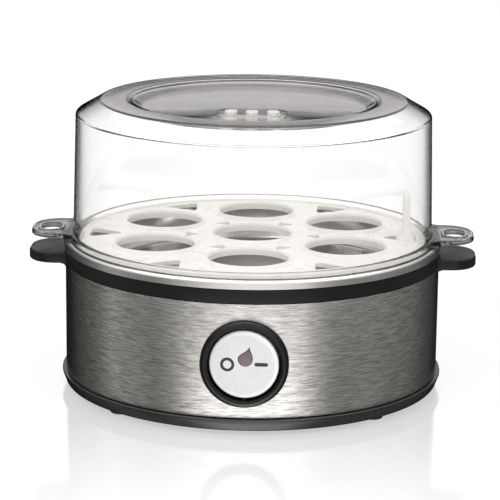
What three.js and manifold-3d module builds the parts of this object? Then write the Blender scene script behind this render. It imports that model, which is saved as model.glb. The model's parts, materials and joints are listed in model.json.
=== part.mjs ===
// Egg cooker: a steel-wrapped drum with a heated water pan, a lift-out egg tray and a clear lid.
// Millimetres. +Z is up, the switch faces -Y, and the origin is on the table under the drum's centre.
import * as THREE from 'three';
import { mergeVertices } from 'three/addons/utils/BufferGeometryUtils.js';
import Module from 'manifold-3d';

const wasm = await Module();
wasm.setup();

// ---------------------------------------------------------------- driving dimensions
const fit = 0.3;                  // clearance between pieces that seat on each other
const drumFacets = 36;            // facets round the drum, the pan and the lid
const holeFacets = 20;            // facets round the switch
const innerFacets = 14;           // facets round the pieces inside the drum
const eggFacets = 16;             // facets round each egg hole
const smallFacets = 8;            // facets round screws, studs and pins
const chordError = 0.25;          // how far a rounded corner's chords may leave its arc
const past = 1;                   // a cutter runs past the face it opens by this
const sunk = 0.5;                 // a piece that joins another starts this far inside it
const softEdge = 0.5;             // small moulded edge radius

// Feet and base
const footHeight = 2;             // rubber that shows below the base
const footRadius = 4.7;
const footInset = 6.8;            // foot centres inside the base's lower edge
const footSocketDepth = 1;
const footAngles = [45, 135, 225, 315];
const baseHeight = 5.3;           // from the base's underside to the ledge that carries the drum
const baseLedge = 1.7;            // flange of the base past the band
const baseUndercut = 1.7;         // lower edge of the base inside its flange
const baseLip = 1.2;              // upright part of the flange
const baseFloor = 2.4;
const basePanelMargin = 4.7;      // from the screw heads in to the raised centre panel
const basePanelDepth = 0.8;
const spigotHeight = 7;           // ring that centres the drum on the base
const spigotWall = 1.8;
const ventSlotCount = 8;
const ventSlotInner = 18;
const ventSlotOuter = 34;
const ventSlotWidth = 2.4;

// Drum: steel band outside, moulded shell inside
const bandRadius = 85;
const bandWall = 0.6;
const bandHeight = 50.2;
const bandSeam = 0.8;
const bodyWall = 2.2;
const ringHeight = 6;             // black ring above the band
const ringProud = 0.4;
const collarHeight = 1.1;         // collar that carries the pan's rim

// Handles of the drum
const handleLength = 16.5;        // from the band out to the handle's tip
const handleWidth = 31;
const handleThickness = 4.9;
const handleDrop = 2.4;           // handle top below the ring's top
const handleCorner = 12;
const handleEdge = 1.1;
const handleFillet = 1.3;         // fillet under the handle, down over the band
const handleFilletReach = 1.4;
const handlePocketWall = 2.2;     // wall left round the hollow underside
const handlePocketDepth = 2.4;
const handleRibWidth = 1.8;

// Pan
const panWall = 0.8;
const panRimHeight = 3.7;
const panRimProud = 0.35;
const panRimRound = 2.4;
const ledgeDepth = 1.9;           // seat of the tray below the rim's top
const ledgeWidth = 4.8;
const panClear = 0.7;             // pan's underside above the switch's cup
const panTaper = 5.5;
const panFloorRound = 2.8;

// Pan studs and nuts
const studAngles = [90, 210, 330];
const studRadius = 1.25;
const studNutFlats = 5;
const studNutHeight = 2.4;
const studLugThickness = 2.5;
const studLugWidth = 9;
const studLugDepth = 3;           // lug top below the pan's ledge
const studLugWall = 1;            // lug past the stud's hole, towards the axis
const studEnd = 1.5;              // stud past its nut

// Lid
const lidWall = 2;
const lidTopHeight = 62.75;       // from the lid's seat to its top face
const lidTopLand = 14;            // flat ring between the recess and the shoulder
const lidShoulderWidth = 11.05;
const lidShoulderDrop = 6.4;
const lidDraft = 1.35;            // the wall widens by this down to the foot
const lidFootStep = 0.6;          // wall's foot outside the pan's step
const lidFlangeInset = 2.75;      // flange inside the pan's rim
const lidFlangeThickness = 2.4;
const lidRibDepth = 1.5;
const ribClear = 0.1;             // extra clearance of the locating rib
const lidCrease = 1.4;            // rounding of the lid's creases
const recessSlope = 4.5;
const recessDepth = 3.7;
const ventCount = 3;
const ventRadius = 2.7;
const ventPitch = 9.3;
const ventOffset = 22.5;          // vents lie in front of the lid's centre
const ventPadWidth = 12;
const ventPadMargin = 3.6;        // pad past the outer vents
const ventPadDrop = 0.2;          // pad top below the lid's top

// Ears of the lid
const earInset = 1.2;             // ear's tip inside the handle's tip
const earWidth = 32;
const earCorner = 12.5;
const earRimWidth = 1.3;
const earFieldDepth = 0.8;
const earFlare = 4;               // the flange widens into the ear over this length
const earSlotLength = 14;         // along the drum's rim
const earSlotWidth = 9.4;
const earSlotInset = 3.9;         // slot edge from the ear's tip

// Tray
const trayThickness = 1.8;
const trayRimGap = 0.8;
const trayRimHeight = 1;
const trayRimWidth = 1.6;
const eggMargin = 10.6;           // from the lips of the outer egg holes to the tray's edge
const eggCount = 6;
const eggHoleRadius = 17.4;
const eggLipWidth = 2;
const eggLipHeight = 1.7;
const eggLipChamfer = 0.9;
const drainMargin = 4.4;          // from the outer drain openings to the tray's edge
const drainLength = 16.7;
const drainHalfWidth = 9.2;
const drainCorner = 2.2;
const innerDrainRadius = 4.6;
const gripInset = 8.9;            // from the grip's middle to the tray's edge
const gripThickness = 2.9;
const gripHeight = 21.4;
const gripWidth = 17;
const gripTopWidth = 11;
const gripCorner = 3;
const gripFlare = 3;
const gripFlareHeight = 4;

// Switch on the front
const switchHeight = 32;
const bezelRadius = 18.95;
const bezelProud = 3;             // bezel's face in front of the band
const bezelRound = 1.7;
const barrelRadius = 17;
const barrelDepth = 9;            // barrel's end behind the band's face
const hookReach = 1.3;            // snap hooks behind the drum's wall
const hookWidth = 8;
const buttonRadius = 14.6;
const buttonGap = 1.3;
const buttonInset = 0.5;          // button's face behind the bezel's face
const buttonDome = 0.5;
const buttonWall = 2.2;
const buttonSkirtWall = 1.6;
const buttonSkirtDepth = 10;
const pivotDepth = 3.5;           // rocking axis behind the button's face
const pivotRadius = 1.5;
const rockerTilt = 4;             // degrees that the resting button leans
const lampWidth = 6;              // drop-shaped pilot light
const lampBelow = 1;              // its round end below the button's middle
const lampAbove = 7.2;            // its tip above the button's middle
const lampLean = 1.7;             // its tip to the right of the button's middle
const lampSeat = 1.4;             // plastic between the light and the plunger's bore
const stemRadius = 3.2;
const stemLength = 11;            // behind the rocking axis
const plungerRadius = 1.6;
const plungerReach = 4.4;         // plunger's tip behind the stem
const plungerLength = 9.4;
const springTurns = 4;
const springWire = 0.3;
const switchCupWall = 1.5;
const switchCupDepth = 17.5;
const contactTilt = 5;
const contactThickness = 0.8;
const contactHalfLength = 6;
const contactWidth = 5;
const contactTipRadius = 1.4;
const contactTipHeight = 0.5;
const terminalWidth = 6.3;
const terminalThickness = 0.8;
const terminalTail = 8.5;         // blades behind the switch's cup
const terminalSpacing = 7.5;
const neonRadius = 2.1;
const neonLength = 9.6;

// Heating set under the pan
const spreaderMargin = 18.5;      // from the edge of the pan's floor in to the spreader
const spreaderThickness = 5;
const elementInset = 14;          // element's ring inside the spreader's edge
const elementRadius = 3.3;
const elementOpening = 50;        // degrees left open at the rear
const elementTail = 10;
const elementPinRadius = 1.2;
const elementPinLength = 8;
const clampStudRadius = 2.5;
const clampOverhang = 8;          // clamp plate past the element's ring
const clampPlateWidth = 14;
const clampPlateThickness = 1.5;
const clampNutFlats = 8;
const clampNutHeight = 4;
const thermostatRadius = 8;
const thermostatStep = 1.2;       // body inside the sensing cap
const thermostatHeight = 9;
const thermostatCap = 3;
const bracketSpan = 24;
const bracketThickness = 0.8;
const bracketMargin = 0.7;        // bracket past its screw heads and the sensing cap
const screwGrip = 2;              // screws end this far below the spreader's top
const tabSpacing = 7.2;           // spade tabs of the thermostat
const tabWidth = 4.8;
const tabLength = 6;
const fuseRadius = 2.2;
const fuseLength = 14;
const fuseStrapWall = 0.8;
const fuseStrapWidth = 7;
const fuseLeadRadius = 0.5;
const fuseLeadLength = 8;

// Screws
const screwInset = 7.9;           // screw centres inside the drum's wall
const screwAngles = [20, 160, 200, 340];
const screwRadius = 1.5;
const screwHeadRadius = 3;
const screwHeadHeight = 2.1;
const screwReach = 12;
const bossRadius = 4;
const bossTop = 32;
const bossWeb = 2;
const postRadius = 5.2;
const postHeight = 3.6;
const smallHeadRadius = 2.6;
const smallHeadHeight = 1.8;

// Mains connection
const glandHeight = 21;
const glandBore = 3.5;
const glandBarrel = 5;
const glandFlange = 7;
const glandFlangeThickness = 1.1;
const glandLip = 6.1;
const glandLipDepth = 1.8;
const blockLength = 28;
const blockWidth = 13;
const blockHeight = 11;
const blockInset = 23.9;          // block's middle inside the drum's wall
const blockPitch = 8.6;
const blockBoreHeight = 5;
const blockBoreRadius = 2;
const blockScrewRadius = 1.8;
const wireRadius = 1.2;
const wireStub = 5;               // straight wire at each terminal

// ---------------------------------------------------------------- levels and radii that follow
const bodyRadius = bandRadius - bandWall - fit;
const bodyInner = bodyRadius - bodyWall;
const baseLow = footHeight;
const baseTop = baseLow + baseHeight;
const floorTop = baseLow + baseFloor;
const bandLow = baseTop + fit;
const bandTop = bandLow + bandHeight;
const ringLow = bandTop + fit;
const ringTop = ringLow + ringHeight;
const ringRadius = bandRadius + ringProud;
const baseFlangeRadius = bandRadius + baseLedge;
const baseLowRadius = baseFlangeRadius - baseUndercut;
const footCircle = baseLowRadius - footInset;
const screwCircle = bodyInner - screwInset;
const basePanelRadius = screwCircle - screwHeadRadius - fit - basePanelMargin;
const handleReach = bandRadius + handleLength;
const collarTop = ringTop + collarHeight;
const skirtLow = ringTop + fit;
const panTop = skirtLow + panRimHeight;
const panRimRadius = ringRadius + panRimProud;
const panStepRadius = bodyInner - fit - panWall;
const ledgeTop = panTop - ledgeDepth;
const ledgeInner = panStepRadius - ledgeWidth;
const cupRadius = barrelRadius - softEdge;
const panUnderside = switchHeight + cupRadius + panClear;
const panFloor = panUnderside + panWall;
const lidLow = panTop + fit;
const lidTop = lidLow + lidTopHeight;
const recessFloor = lidTop - recessDepth;
const lidBaseRadius = panStepRadius + lidFootStep;
const lidFlangeRadius = panRimRadius - lidFlangeInset;
const lidShoulderRadius = lidBaseRadius - lidDraft;
const lidTopRadius = lidShoulderRadius - lidShoulderWidth;
const recessMouthRadius = lidTopRadius - lidTopLand;
const recessFloorRadius = recessMouthRadius - recessSlope;
const earReach = handleReach - earInset;
const spigotRadius = bodyInner - fit;
const spigotTop = baseTop + spigotHeight;
const trayLow = ledgeTop + fit;
const trayTop = trayLow + trayThickness;
const trayRadius = lidBaseRadius - lidWall - trayRimGap;
const eggCircle = trayRadius - eggMargin - eggLipWidth - eggHoleRadius;
const drainBase = trayRadius - drainMargin;
const drainApex = drainBase - drainLength;
const gripRadius = trayRadius - gripInset;
const bezelFront = bandRadius + bezelProud;
const bezelBack = bandRadius - 2 * bezelProud;
const bezelBore = buttonRadius + buttonGap;
const barrelBack = bandRadius - barrelDepth;
const windowRadius = barrelRadius + fit;
const buttonFront = bezelFront - buttonInset;
const buttonSkirtBack = buttonFront - buttonSkirtDepth;
const pivotDistance = buttonFront - pivotDepth;
const stemBack = pivotDistance - stemLength;
const plungerTip = stemBack - plungerReach;
const contactFace = plungerTip - fit;
const contactPivot = contactFace - contactThickness / 2;
const switchCupBack = barrelBack - switchCupDepth;
const terminalEnd = switchCupBack - terminalTail;
const spreaderRadius = ledgeInner - panTaper - spreaderMargin;
const elementCircle = spreaderRadius - elementInset;
const spreaderTop = panUnderside - fit;
const spreaderLow = spreaderTop - spreaderThickness;
const clampPlateTop = spreaderLow - elementRadius - fit;
const clampPlateLow = clampPlateTop - clampPlateThickness;
const clampPlateLength = 2 * (elementCircle + clampOverhang);
const sensorTop = spreaderLow - fit;
const sensorBand = (clampPlateWidth / 2 + elementCircle - elementRadius) / 2;
const bracketTop = sensorTop - thermostatCap - fit;
const fuseCentre = sensorTop - fuseRadius;
const strapReach = fuseRadius + fit + fuseStrapWall;
const fuseScrewOffset = strapReach + smallHeadRadius + fit;
const fuseOffset = sensorBand - fuseScrewOffset / 2;
const studCircle = bodyInner - 2 * fit - studNutFlats / 2;
const studLugInner = studCircle - studRadius - fit - studLugWall;
const studLugTop = ledgeTop - panWall - studLugDepth;
const studLugLow = studLugTop - studLugThickness;
const blockDistance = bodyInner - blockInset;

const toRadians = THREE.MathUtils.degToRad;

// ---------------------------------------------------------------- shaping helpers
// A closed, welded mesh with its faces outwards, as a manifold.
function manifoldOf(geometry) {
  if (geometry.userData.solid) {
    return new wasm.Manifold(new wasm.Mesh({
      numProp: 3,
      vertProperties: geometry.getAttribute('position').array,
      triVerts: geometry.index.array,
    }));
  }
  const bare = new THREE.BufferGeometry();
  bare.setAttribute('position', geometry.getAttribute('position').clone());
  if (geometry.index) {
    bare.setIndex(geometry.index.clone());
  }
  const welded = mergeVertices(bare);
  const position = welded.getAttribute('position');
  const corner = [new THREE.Vector3(), new THREE.Vector3(), new THREE.Vector3()];
  const triangles = [];
  let volume = 0;
  for (let i = 0; i < welded.index.count; i += 3) {
    const ids = [0, 1, 2].map((k) => welded.index.getX(i + k));
    if (new Set(ids).size < 3) {
      continue;
    }
    ids.forEach((id, k) => corner[k].fromBufferAttribute(position, id));
    volume += corner[0].dot(corner[1].clone().cross(corner[2]));
    triangles.push(ids);
  }
  const faces = volume < 0 ? triangles.map((ids) => ids.reverse()) : triangles;
  return new wasm.Manifold(new wasm.Mesh({
    numProp: 3,
    vertProperties: new Float32Array(position.array),
    triVerts: new Uint32Array(faces.flat()),
  }));
}

function geometryOf(manifold) {
  const mesh = manifold.getMesh();
  const geometry = new THREE.BufferGeometry();
  geometry.setAttribute('position', new THREE.BufferAttribute(mesh.vertProperties, 3));
  geometry.setIndex(new THREE.BufferAttribute(mesh.triVerts, 1));
  geometry.userData.solid = true;
  return geometry;
}

function join(...parts) {
  return geometryOf(parts.map(manifoldOf).reduce((sum, part) => sum.add(part)));
}

function cut(part, ...tools) {
  return geometryOf(tools.map(manifoldOf).reduce((rest, tool) => rest.subtract(tool), manifoldOf(part)));
}

function common(first, second) {
  return geometryOf(manifoldOf(first).intersect(manifoldOf(second)));
}

// A corner of an outline: its point, the directions of its two walls, and half the angle between them.
function cornerOf(corners, index) {
  const count = corners.length;
  const [last, here, next] = [count - 1, 0, 1].map((step) => {
    const [x, y] = corners[(index + step) % count];
    return new THREE.Vector2(x, y);
  });
  const back = last.sub(here).normalize();
  const wallAhead = next.sub(here);
  const ahead = wallAhead.clone().normalize();
  const half = Math.acos(THREE.MathUtils.clamp(back.dot(ahead), -1, 1)) / 2;
  return { point: here, back, ahead, half, wall: wallAhead.length() };
}

// Points of a closed outline whose corners are [x, y, radius]; a corner without a radius stays sharp.
// Two fillets that meet on a wall shorter than both share it.
function rounded(corners) {
  const count = corners.length;
  const bends = corners.map(([, , radius = 0], index) => {
    const bend = cornerOf(corners, index);
    return { ...bend, radius, reach: radius > 0 ? radius / Math.tan(bend.half) : 0 };
  });
  const shares = bends.map((bend, index) => {
    const wanted = bend.reach + bends[(index + 1) % count].reach;
    return wanted > bend.wall ? bend.wall / wanted : 1;
  });
  const points = [];
  bends.forEach(({ point: corner, back, ahead, half, radius: wanted }, index) => {
    if (wanted <= 0) {
      points.push(corner);
      return;
    }
    const radius = wanted * Math.min(shares[index], shares[(index + count - 1) % count]);
    const start = corner.clone().addScaledVector(back, radius / Math.tan(half));
    const end = corner.clone().addScaledVector(ahead, radius / Math.tan(half));
    const inwards = back.clone().add(ahead).normalize();
    const middle = corner.clone().addScaledVector(inwards, radius / Math.sin(half));
    const from = Math.atan2(start.y - middle.y, start.x - middle.x);
    const to = Math.atan2(end.y - middle.y, end.x - middle.x);
    const turn = THREE.MathUtils.euclideanModulo(to - from + Math.PI, 2 * Math.PI) - Math.PI;
    const chord = 2 * Math.acos(Math.max(1 - chordError / radius, 0));
    const steps = Math.max(1, Math.ceil(Math.abs(turn) / chord));
    for (let i = 0; i <= steps; i += 1) {
      const angle = from + (turn * i) / steps;
      points.push(new THREE.Vector2(Math.cos(angle), Math.sin(angle)).multiplyScalar(radius).add(middle));
    }
  });
  return points;
}

// The same path moved sideways by a wall, to its right-hand side. Only bends wider than the wall stay round.
function offsetPath(path, wall) {
  const normals = path.slice(1).map(([x, y], i) => {
    const along = new THREE.Vector2(x - path[i][0], y - path[i][1]).normalize();
    return new THREE.Vector2(along.y, -along.x);
  });
  return path.map(([x, y, radius = 0], i) => {
    const before = normals[Math.max(i - 1, 0)];
    const after = normals[Math.min(i, normals.length - 1)];
    const middle = before.clone().add(after).normalize();
    const reach = wall / middle.dot(after);
    const turn = before.cross(after);
    const bend = radius > wall ? radius + (turn > 0 ? wall : -wall) : 0;
    return [x + middle.x * reach, y + middle.y * reach, bend];
  });
}

// A solid of revolution about +Z from an outline of [radius, height] corners.
function revolve(corners, facets = drumFacets) {
  const outline = rounded(corners);
  const geometry = new THREE.LatheGeometry([...outline, outline[0]], facets);
  return geometry.rotateX(Math.PI / 2);
}

function cylinder(radius, low, high, facets = smallFacets) {
  return revolve([[0, low], [radius, low], [radius, high], [0, high]], facets);
}

function shapeOf(corners) {
  return new THREE.Shape(rounded(corners));
}

// A plate between two levels, with its rims softened by an edge radius when one is given.
function plate(shape, low, high, edge = 0) {
  const geometry = new THREE.ExtrudeGeometry(shape, {
    depth: high - low - 2 * edge,
    bevelEnabled: edge > 0,
    bevelThickness: edge,
    bevelSize: edge,
    bevelOffset: -edge,
    bevelSegments: 1,
    curveSegments: holeFacets / 4,
  });
  return geometry.translate(0, 0, low + edge);
}

function box(width, depth, height) {
  return new THREE.BoxGeometry(width, depth, height);
}

// A rounded rectangle centred on a point.
function panel(width, depth, corner, x = 0, y = 0) {
  return [
    [x - width / 2, y - depth / 2, corner],
    [x + width / 2, y - depth / 2, corner],
    [x + width / 2, y + depth / 2, corner],
    [x - width / 2, y + depth / 2, corner],
  ];
}

// A round bar along a curve.
function bar(points, radius, sides, steps) {
  const curve = new THREE.CatmullRomCurve3(points, false, 'centripetal');
  const section = Array.from({ length: sides }, (_, i) => {
    const angle = (2 * Math.PI * i) / sides;
    return new THREE.Vector2(radius * Math.cos(angle), radius * Math.sin(angle));
  });
  const shape = new THREE.Shape(section);
  return new THREE.ExtrudeGeometry(shape, { steps, extrudePath: curve, bevelEnabled: false });
}

// A prism with six sides, flats facing +X, with a hole through it.
function hexNut(flats, low, high, holeRadius) {
  const corners = Array.from({ length: 6 }, (_, i) => {
    const angle = toRadians(30 + 60 * i);
    const reach = flats / 2 / Math.cos(toRadians(30));
    return [reach * Math.cos(angle), reach * Math.sin(angle)];
  });
  return cut(plate(shapeOf(corners), low, high), cylinder(holeRadius, low - past, high + past));
}

function screw(headRadius, headHeight, shankRadius, shankLength) {
  return revolve([
    [0, 0], [headRadius * 0.6, 0], [headRadius, headHeight * 0.45], [headRadius, headHeight],
    [shankRadius, headHeight], [shankRadius, headHeight + shankLength - shankRadius],
    [0, headHeight + shankLength],
  ], smallFacets);
}

// Puts a piece at a distance from the axis, in a direction counted from +X.
function atAngle(geometry, distance, degrees) {
  return geometry.translate(distance, 0, 0).rotateZ(toRadians(degrees));
}

// Turns a piece built along +Z, as distance from the drum's axis, to face the front.
function faceFront(geometry, height = switchHeight) {
  return geometry.rotateX(Math.PI / 2).translate(0, 0, height);
}

// Turns a piece built along +Z, as distance from the drum's axis, to face the rear.
function faceRear(geometry, height) {
  return geometry.rotateX(-Math.PI / 2).translate(0, 0, height);
}

const eggCooker = new THREE.Group();

function addPiece(name, geometry, look) {
  const shaped = geometryOf(manifoldOf(geometry));
  shaped.computeVertexNormals();
  const mesh = new THREE.Mesh(shaped, new THREE.MeshStandardMaterial({ flatShading: true, ...look }));
  mesh.name = name;
  eggCooker.add(mesh);
  return mesh;
}

const blackPlastic = { color: 0x1b1a1a, roughness: 0.45, metalness: 0 };
const glossBlack = { color: 0x0d0d0e, roughness: 0.15, metalness: 0 };
const whitePlastic = { color: 0xefece6, roughness: 0.35, metalness: 0 };
const clearPlastic = { color: 0xf4f4f4, roughness: 0.05, metalness: 0, transparent: true, opacity: 0.3 };
const brushedSteel = { color: 0xb9b6b0, roughness: 0.35, metalness: 1 };
const polishedSteel = { color: 0xc9c7c3, roughness: 0.2, metalness: 1 };
const zincSteel = { color: 0xa9abad, roughness: 0.4, metalness: 1 };
const castAluminium = { color: 0xb4b6b8, roughness: 0.6, metalness: 1 };
const brass = { color: 0xb9975b, roughness: 0.4, metalness: 1 };
const rubber = { color: 0x151515, roughness: 0.9, metalness: 0 };
const silicone = { color: 0xb9b6b2, roughness: 0.7, metalness: 0 };
const ceramic = { color: 0xe4dfd3, roughness: 0.7, metalness: 0 };
const lampLens = { color: 0x6a5a5e, roughness: 0.2, metalness: 0 };

// ---------------------------------------------------------------- base, feet and screws
function buildBase() {
  const postTop = floorTop + postHeight;
  const headSeat = footHeight + footSocketDepth + screwHeadHeight + fit;
  const shell = revolve([
    [0, baseLow + basePanelDepth],
    [basePanelRadius, baseLow + basePanelDepth],
    [basePanelRadius + basePanelDepth, baseLow],
    [baseLowRadius, baseLow, 2 * softEdge],
    [baseFlangeRadius, baseTop - baseLip, 2 * softEdge],
    [baseFlangeRadius, baseTop, softEdge],
    [spigotRadius, baseTop],
    [spigotRadius, spigotTop],
    [spigotRadius - spigotWall, spigotTop],
    [spigotRadius - spigotWall, floorTop],
    [0, floorTop],
  ]);
  const posts = screwAngles.map((angle) => (
    atAngle(cylinder(postRadius, floorTop - sunk, postTop), screwCircle, angle)));
  const screwHoles = screwAngles.flatMap((angle) => [
    atAngle(cylinder(screwHeadRadius + fit, 0, headSeat), screwCircle, angle),
    atAngle(cylinder(screwRadius + fit, 0, postTop + past), screwCircle, angle),
  ]);
  const footSockets = footAngles.map((angle) => (
    atAngle(cylinder(footRadius + fit, 0, baseLow + footSocketDepth, holeFacets / 2), footCircle, angle)));
  const slot = shapeOf(panel(ventSlotOuter - ventSlotInner, ventSlotWidth, ventSlotWidth * 0.45));
  const vents = Array.from({ length: ventSlotCount }, (_, i) => atAngle(
    plate(slot, 0, floorTop + past), (ventSlotInner + ventSlotOuter) / 2, (360 * (i + 0.5)) / ventSlotCount));
  addPiece('base_shell', cut(join(shell, ...posts), ...screwHoles, ...footSockets, ...vents), blackPlastic);

  footAngles.forEach((angle, i) => {
    const foot = revolve([
      [0, 0], [footRadius, 0, 2 * softEdge], [footRadius, baseLow + footSocketDepth - fit],
      [0, baseLow + footSocketDepth - fit],
    ], holeFacets / 2);
    addPiece(`foot_${i + 1}`, atAngle(foot, footCircle, angle), rubber);
  });
  screwAngles.forEach((angle, i) => {
    const fastener = screw(screwHeadRadius, screwHeadHeight, screwRadius, screwReach);
    fastener.translate(0, 0, headSeat - fit - screwHeadHeight);
    addPiece(`base_screw_${i + 1}`, atAngle(fastener, screwCircle, angle), zincSteel);
  });
}

// ---------------------------------------------------------------- drum shell with its handles
function handle() {
  const top = ringTop - handleDrop;
  const low = top - handleThickness;
  const root = bandRadius + fit;
  const side = shapeOf([
    [bodyRadius, top],
    [handleReach, top, handleEdge],
    [handleReach, low, handleEdge],
    [root + handleFilletReach, low, handleFillet],
    [root, low - handleFillet],
    [root, ringLow],
    [bodyRadius, ringLow],
  ]);
  const sideways = plate(side, -handleWidth, handleWidth).rotateX(Math.PI / 2);
  const plan = (inset, start) => shapeOf([
    [start, inset - handleWidth / 2],
    [handleReach - inset, inset - handleWidth / 2, handleCorner - inset],
    [handleReach - inset, handleWidth / 2 - inset, handleCorner - inset],
    [start, handleWidth / 2 - inset],
  ]);
  const outline = plate(plan(0, bodyRadius - past), low - 2 * handleFillet, top);
  const inside = cylinder(root, low - 3 * handleFillet, ringLow, drumFacets);
  const pocketStart = root + handleFilletReach;
  const pocket = plate(plan(handlePocketWall, pocketStart), low - past, low + handlePocketDepth);
  const rib = box(handleLength, handleRibWidth, handleThickness)
    .translate(pocketStart, 0, low + handleThickness / 2);
  return cut(common(sideways, outline), inside, cut(pocket, rib));
}

function buildBody() {
  const tube = revolve([
    [bodyInner, bandLow],
    [bodyRadius, bandLow],
    [bodyRadius, ringLow],
    [ringRadius, ringLow, softEdge],
    [ringRadius, ringTop, softEdge],
    [bodyRadius, ringTop],
    [bodyRadius, collarTop],
    [bodyInner, collarTop],
  ]);
  const lugs = studAngles.map((angle) => {
    const reach = bodyInner + bodyWall / 2 - studLugInner;
    const lug = box(reach, studLugWidth, studLugThickness);
    lug.translate(reach / 2, 0, (studLugTop + studLugLow) / 2);
    return atAngle(lug, studLugInner, angle);
  });
  const lugHoles = studAngles.map((angle) => (
    atAngle(cylinder(studRadius + fit, studLugLow - past, studLugTop + past), studCircle, angle)));
  const bossLow = floorTop + postHeight + fit;
  const bosses = screwAngles.flatMap((angle) => {
    const webLow = spigotTop + fit;
    const webReach = bodyInner + bodyWall / 2 - screwCircle;
    const web = box(webReach, bossWeb, bossTop - webLow).translate(webReach / 2, 0, (bossTop + webLow) / 2);
    return [
      atAngle(cylinder(bossRadius, bossLow, bossTop), screwCircle, angle),
      atAngle(web, screwCircle, angle),
    ];
  });
  const pilots = screwAngles.map((angle) => (
    atAngle(cylinder(screwRadius + fit, bossLow - past, bossLow + screwReach), screwCircle, angle)));
  const right = handle();
  const left = handle().rotateZ(Math.PI);
  const window = faceFront(cylinder(windowRadius, switchCupBack, bezelFront, holeFacets));
  const cordHole = faceRear(cylinder(glandBarrel + fit, blockDistance, bezelFront, innerFacets), glandHeight);
  const solid = join(tube, ...lugs, ...bosses, right, left);
  addPiece('body_shell', cut(solid, ...lugHoles, ...pilots, window, cordHole), blackPlastic);
}

// ---------------------------------------------------------------- steel band round the drum
function buildBand() {
  const sheet = revolve([
    [bandRadius - bandWall, bandLow], [bandRadius, bandLow],
    [bandRadius, bandTop], [bandRadius - bandWall, bandTop],
  ]);
  const window = faceFront(cylinder(windowRadius, switchCupBack, bezelFront, holeFacets));
  const cordHole = faceRear(cylinder(glandBarrel + fit, blockDistance, bezelFront, innerFacets), glandHeight);
  const seam = box(bandSeam, 2 * (bodyWall + bandWall), 2 * bandHeight)
    .translate(0, bandRadius, (bandLow + bandTop) / 2);
  addPiece('steel_band', cut(sheet, window, cordHole, seam), brushedSteel);
}

// ---------------------------------------------------------------- water pan, its gasket and nuts
function buildPan() {
  const surface = [
    [0, panFloor],
    [ledgeInner - panTaper, panFloor, panFloorRound],
    [ledgeInner, ledgeTop, 2 * softEdge],
    [panStepRadius, ledgeTop],
    [panStepRadius, panTop, 2 * softEdge],
    [panRimRadius, panTop, panRimRound],
    [panRimRadius, skirtLow],
  ];
  const sheet = revolve([...surface, ...offsetPath(surface, panWall).reverse()]);
  const nutTop = studLugLow - fit;
  const studLow = nutTop - studNutHeight - studEnd;
  const studs = studAngles.map((angle) => (
    atAngle(cylinder(studRadius, studLow, ledgeTop - panWall / 2), studCircle, angle)));
  const nutLow = clampPlateLow - fit - clampNutHeight;
  const centreStud = cylinder(clampStudRadius, nutLow - studEnd, panFloor - panWall / 2);
  addPiece('heating_pan', join(sheet, ...studs, centreStud), polishedSteel);

  studAngles.forEach((angle, i) => {
    const nut = hexNut(studNutFlats, nutTop - studNutHeight, nutTop, studRadius + fit);
    addPiece(`pan_nut_${i + 1}`, atAngle(nut, studCircle, angle), zincSteel);
  });
  const gasket = [
    [bodyInner + fit, collarTop + fit],
    [bodyRadius - fit, collarTop + fit],
    [bodyRadius - fit, panTop - panWall - 2 * fit],
    [bodyInner + fit, panTop - panWall - 2 * fit],
  ];
  addPiece('pan_gasket', revolve(gasket), silicone);
}

// ---------------------------------------------------------------- heating set under the pan
function elementPath() {
  const half = elementOpening / 2;
  const bend = 2 * elementRadius;
  const onCircle = (degrees, drop) => (
    new THREE.Vector3(elementCircle, 0, spreaderLow - drop)
      .applyAxisAngle(new THREE.Vector3(0, 0, 1), toRadians(degrees)));
  const bendAngle = THREE.MathUtils.radToDeg(bend / elementCircle);
  const bendStart = 0.3;
  const tail = (degrees, inwards) => [
    onCircle(degrees + inwards * bendAngle * bendStart, bend * bendStart),
    onCircle(degrees, bend),
    onCircle(degrees, bend + elementTail),
  ];
  const first = 90 + half;
  const last = 90 - half + 360;
  const arcStart = first + bendAngle;
  const arcEnd = last - bendAngle;
  const ring = Array.from({ length: innerFacets + 1 }, (_, i) => (
    onCircle(arcStart + ((arcEnd - arcStart) * i) / innerFacets, 0)));
  return [...tail(first, 1).reverse(), ...ring, ...tail(last, -1)];
}

function buildHeater() {
  const path = elementPath();
  const ends = [path[0], path[path.length - 1]];
  const pins = ends.map((end) => (
    cylinder(elementPinRadius, end.z - elementPinLength, end.z + sunk).translate(end.x, end.y, 0)));
  addPiece('heating_element', join(bar(path, elementRadius, 7, 2 * innerFacets), ...pins), zincSteel);

  const screwSpots = bracketScrewSpots();
  const disc = cylinder(spreaderRadius, spreaderLow, spreaderTop, 2 * innerFacets);
  const groove = new THREE.TorusGeometry(elementCircle, elementRadius + 3 * fit, smallFacets, 2 * innerFacets)
    .translate(0, 0, spreaderLow);
  const holes = screwSpots.map(([x, y]) => (
    cylinder(screwRadius + fit, spreaderLow - past, spreaderTop - past).translate(x, y, 0)));
  const studHole = cylinder(clampStudRadius + fit, spreaderLow - past, spreaderTop + past);
  addPiece('heat_spreader', cut(disc, groove, studHole, ...holes), castAluminium);

  const clampShape = shapeOf(panel(clampPlateLength, clampPlateWidth, clampPlateWidth / 3));
  const clamp = plate(clampShape, clampPlateLow, clampPlateTop);
  const clampHole = cylinder(clampStudRadius + fit, clampPlateLow - past, clampPlateTop + past);
  addPiece('clamp_plate', cut(clamp, clampHole), zincSteel);
  const nutTop = clampPlateLow - fit;
  const clampNut = hexNut(clampNutFlats, nutTop - clampNutHeight, nutTop, clampStudRadius + fit);
  addPiece('clamp_nut', clampNut, zincSteel);
  return ends;
}

function bracketScrewSpots() {
  return [
    [-bracketSpan / 2, -sensorBand],
    [bracketSpan / 2, -sensorBand],
    [0, fuseOffset + fuseScrewOffset],
  ];
}

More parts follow.
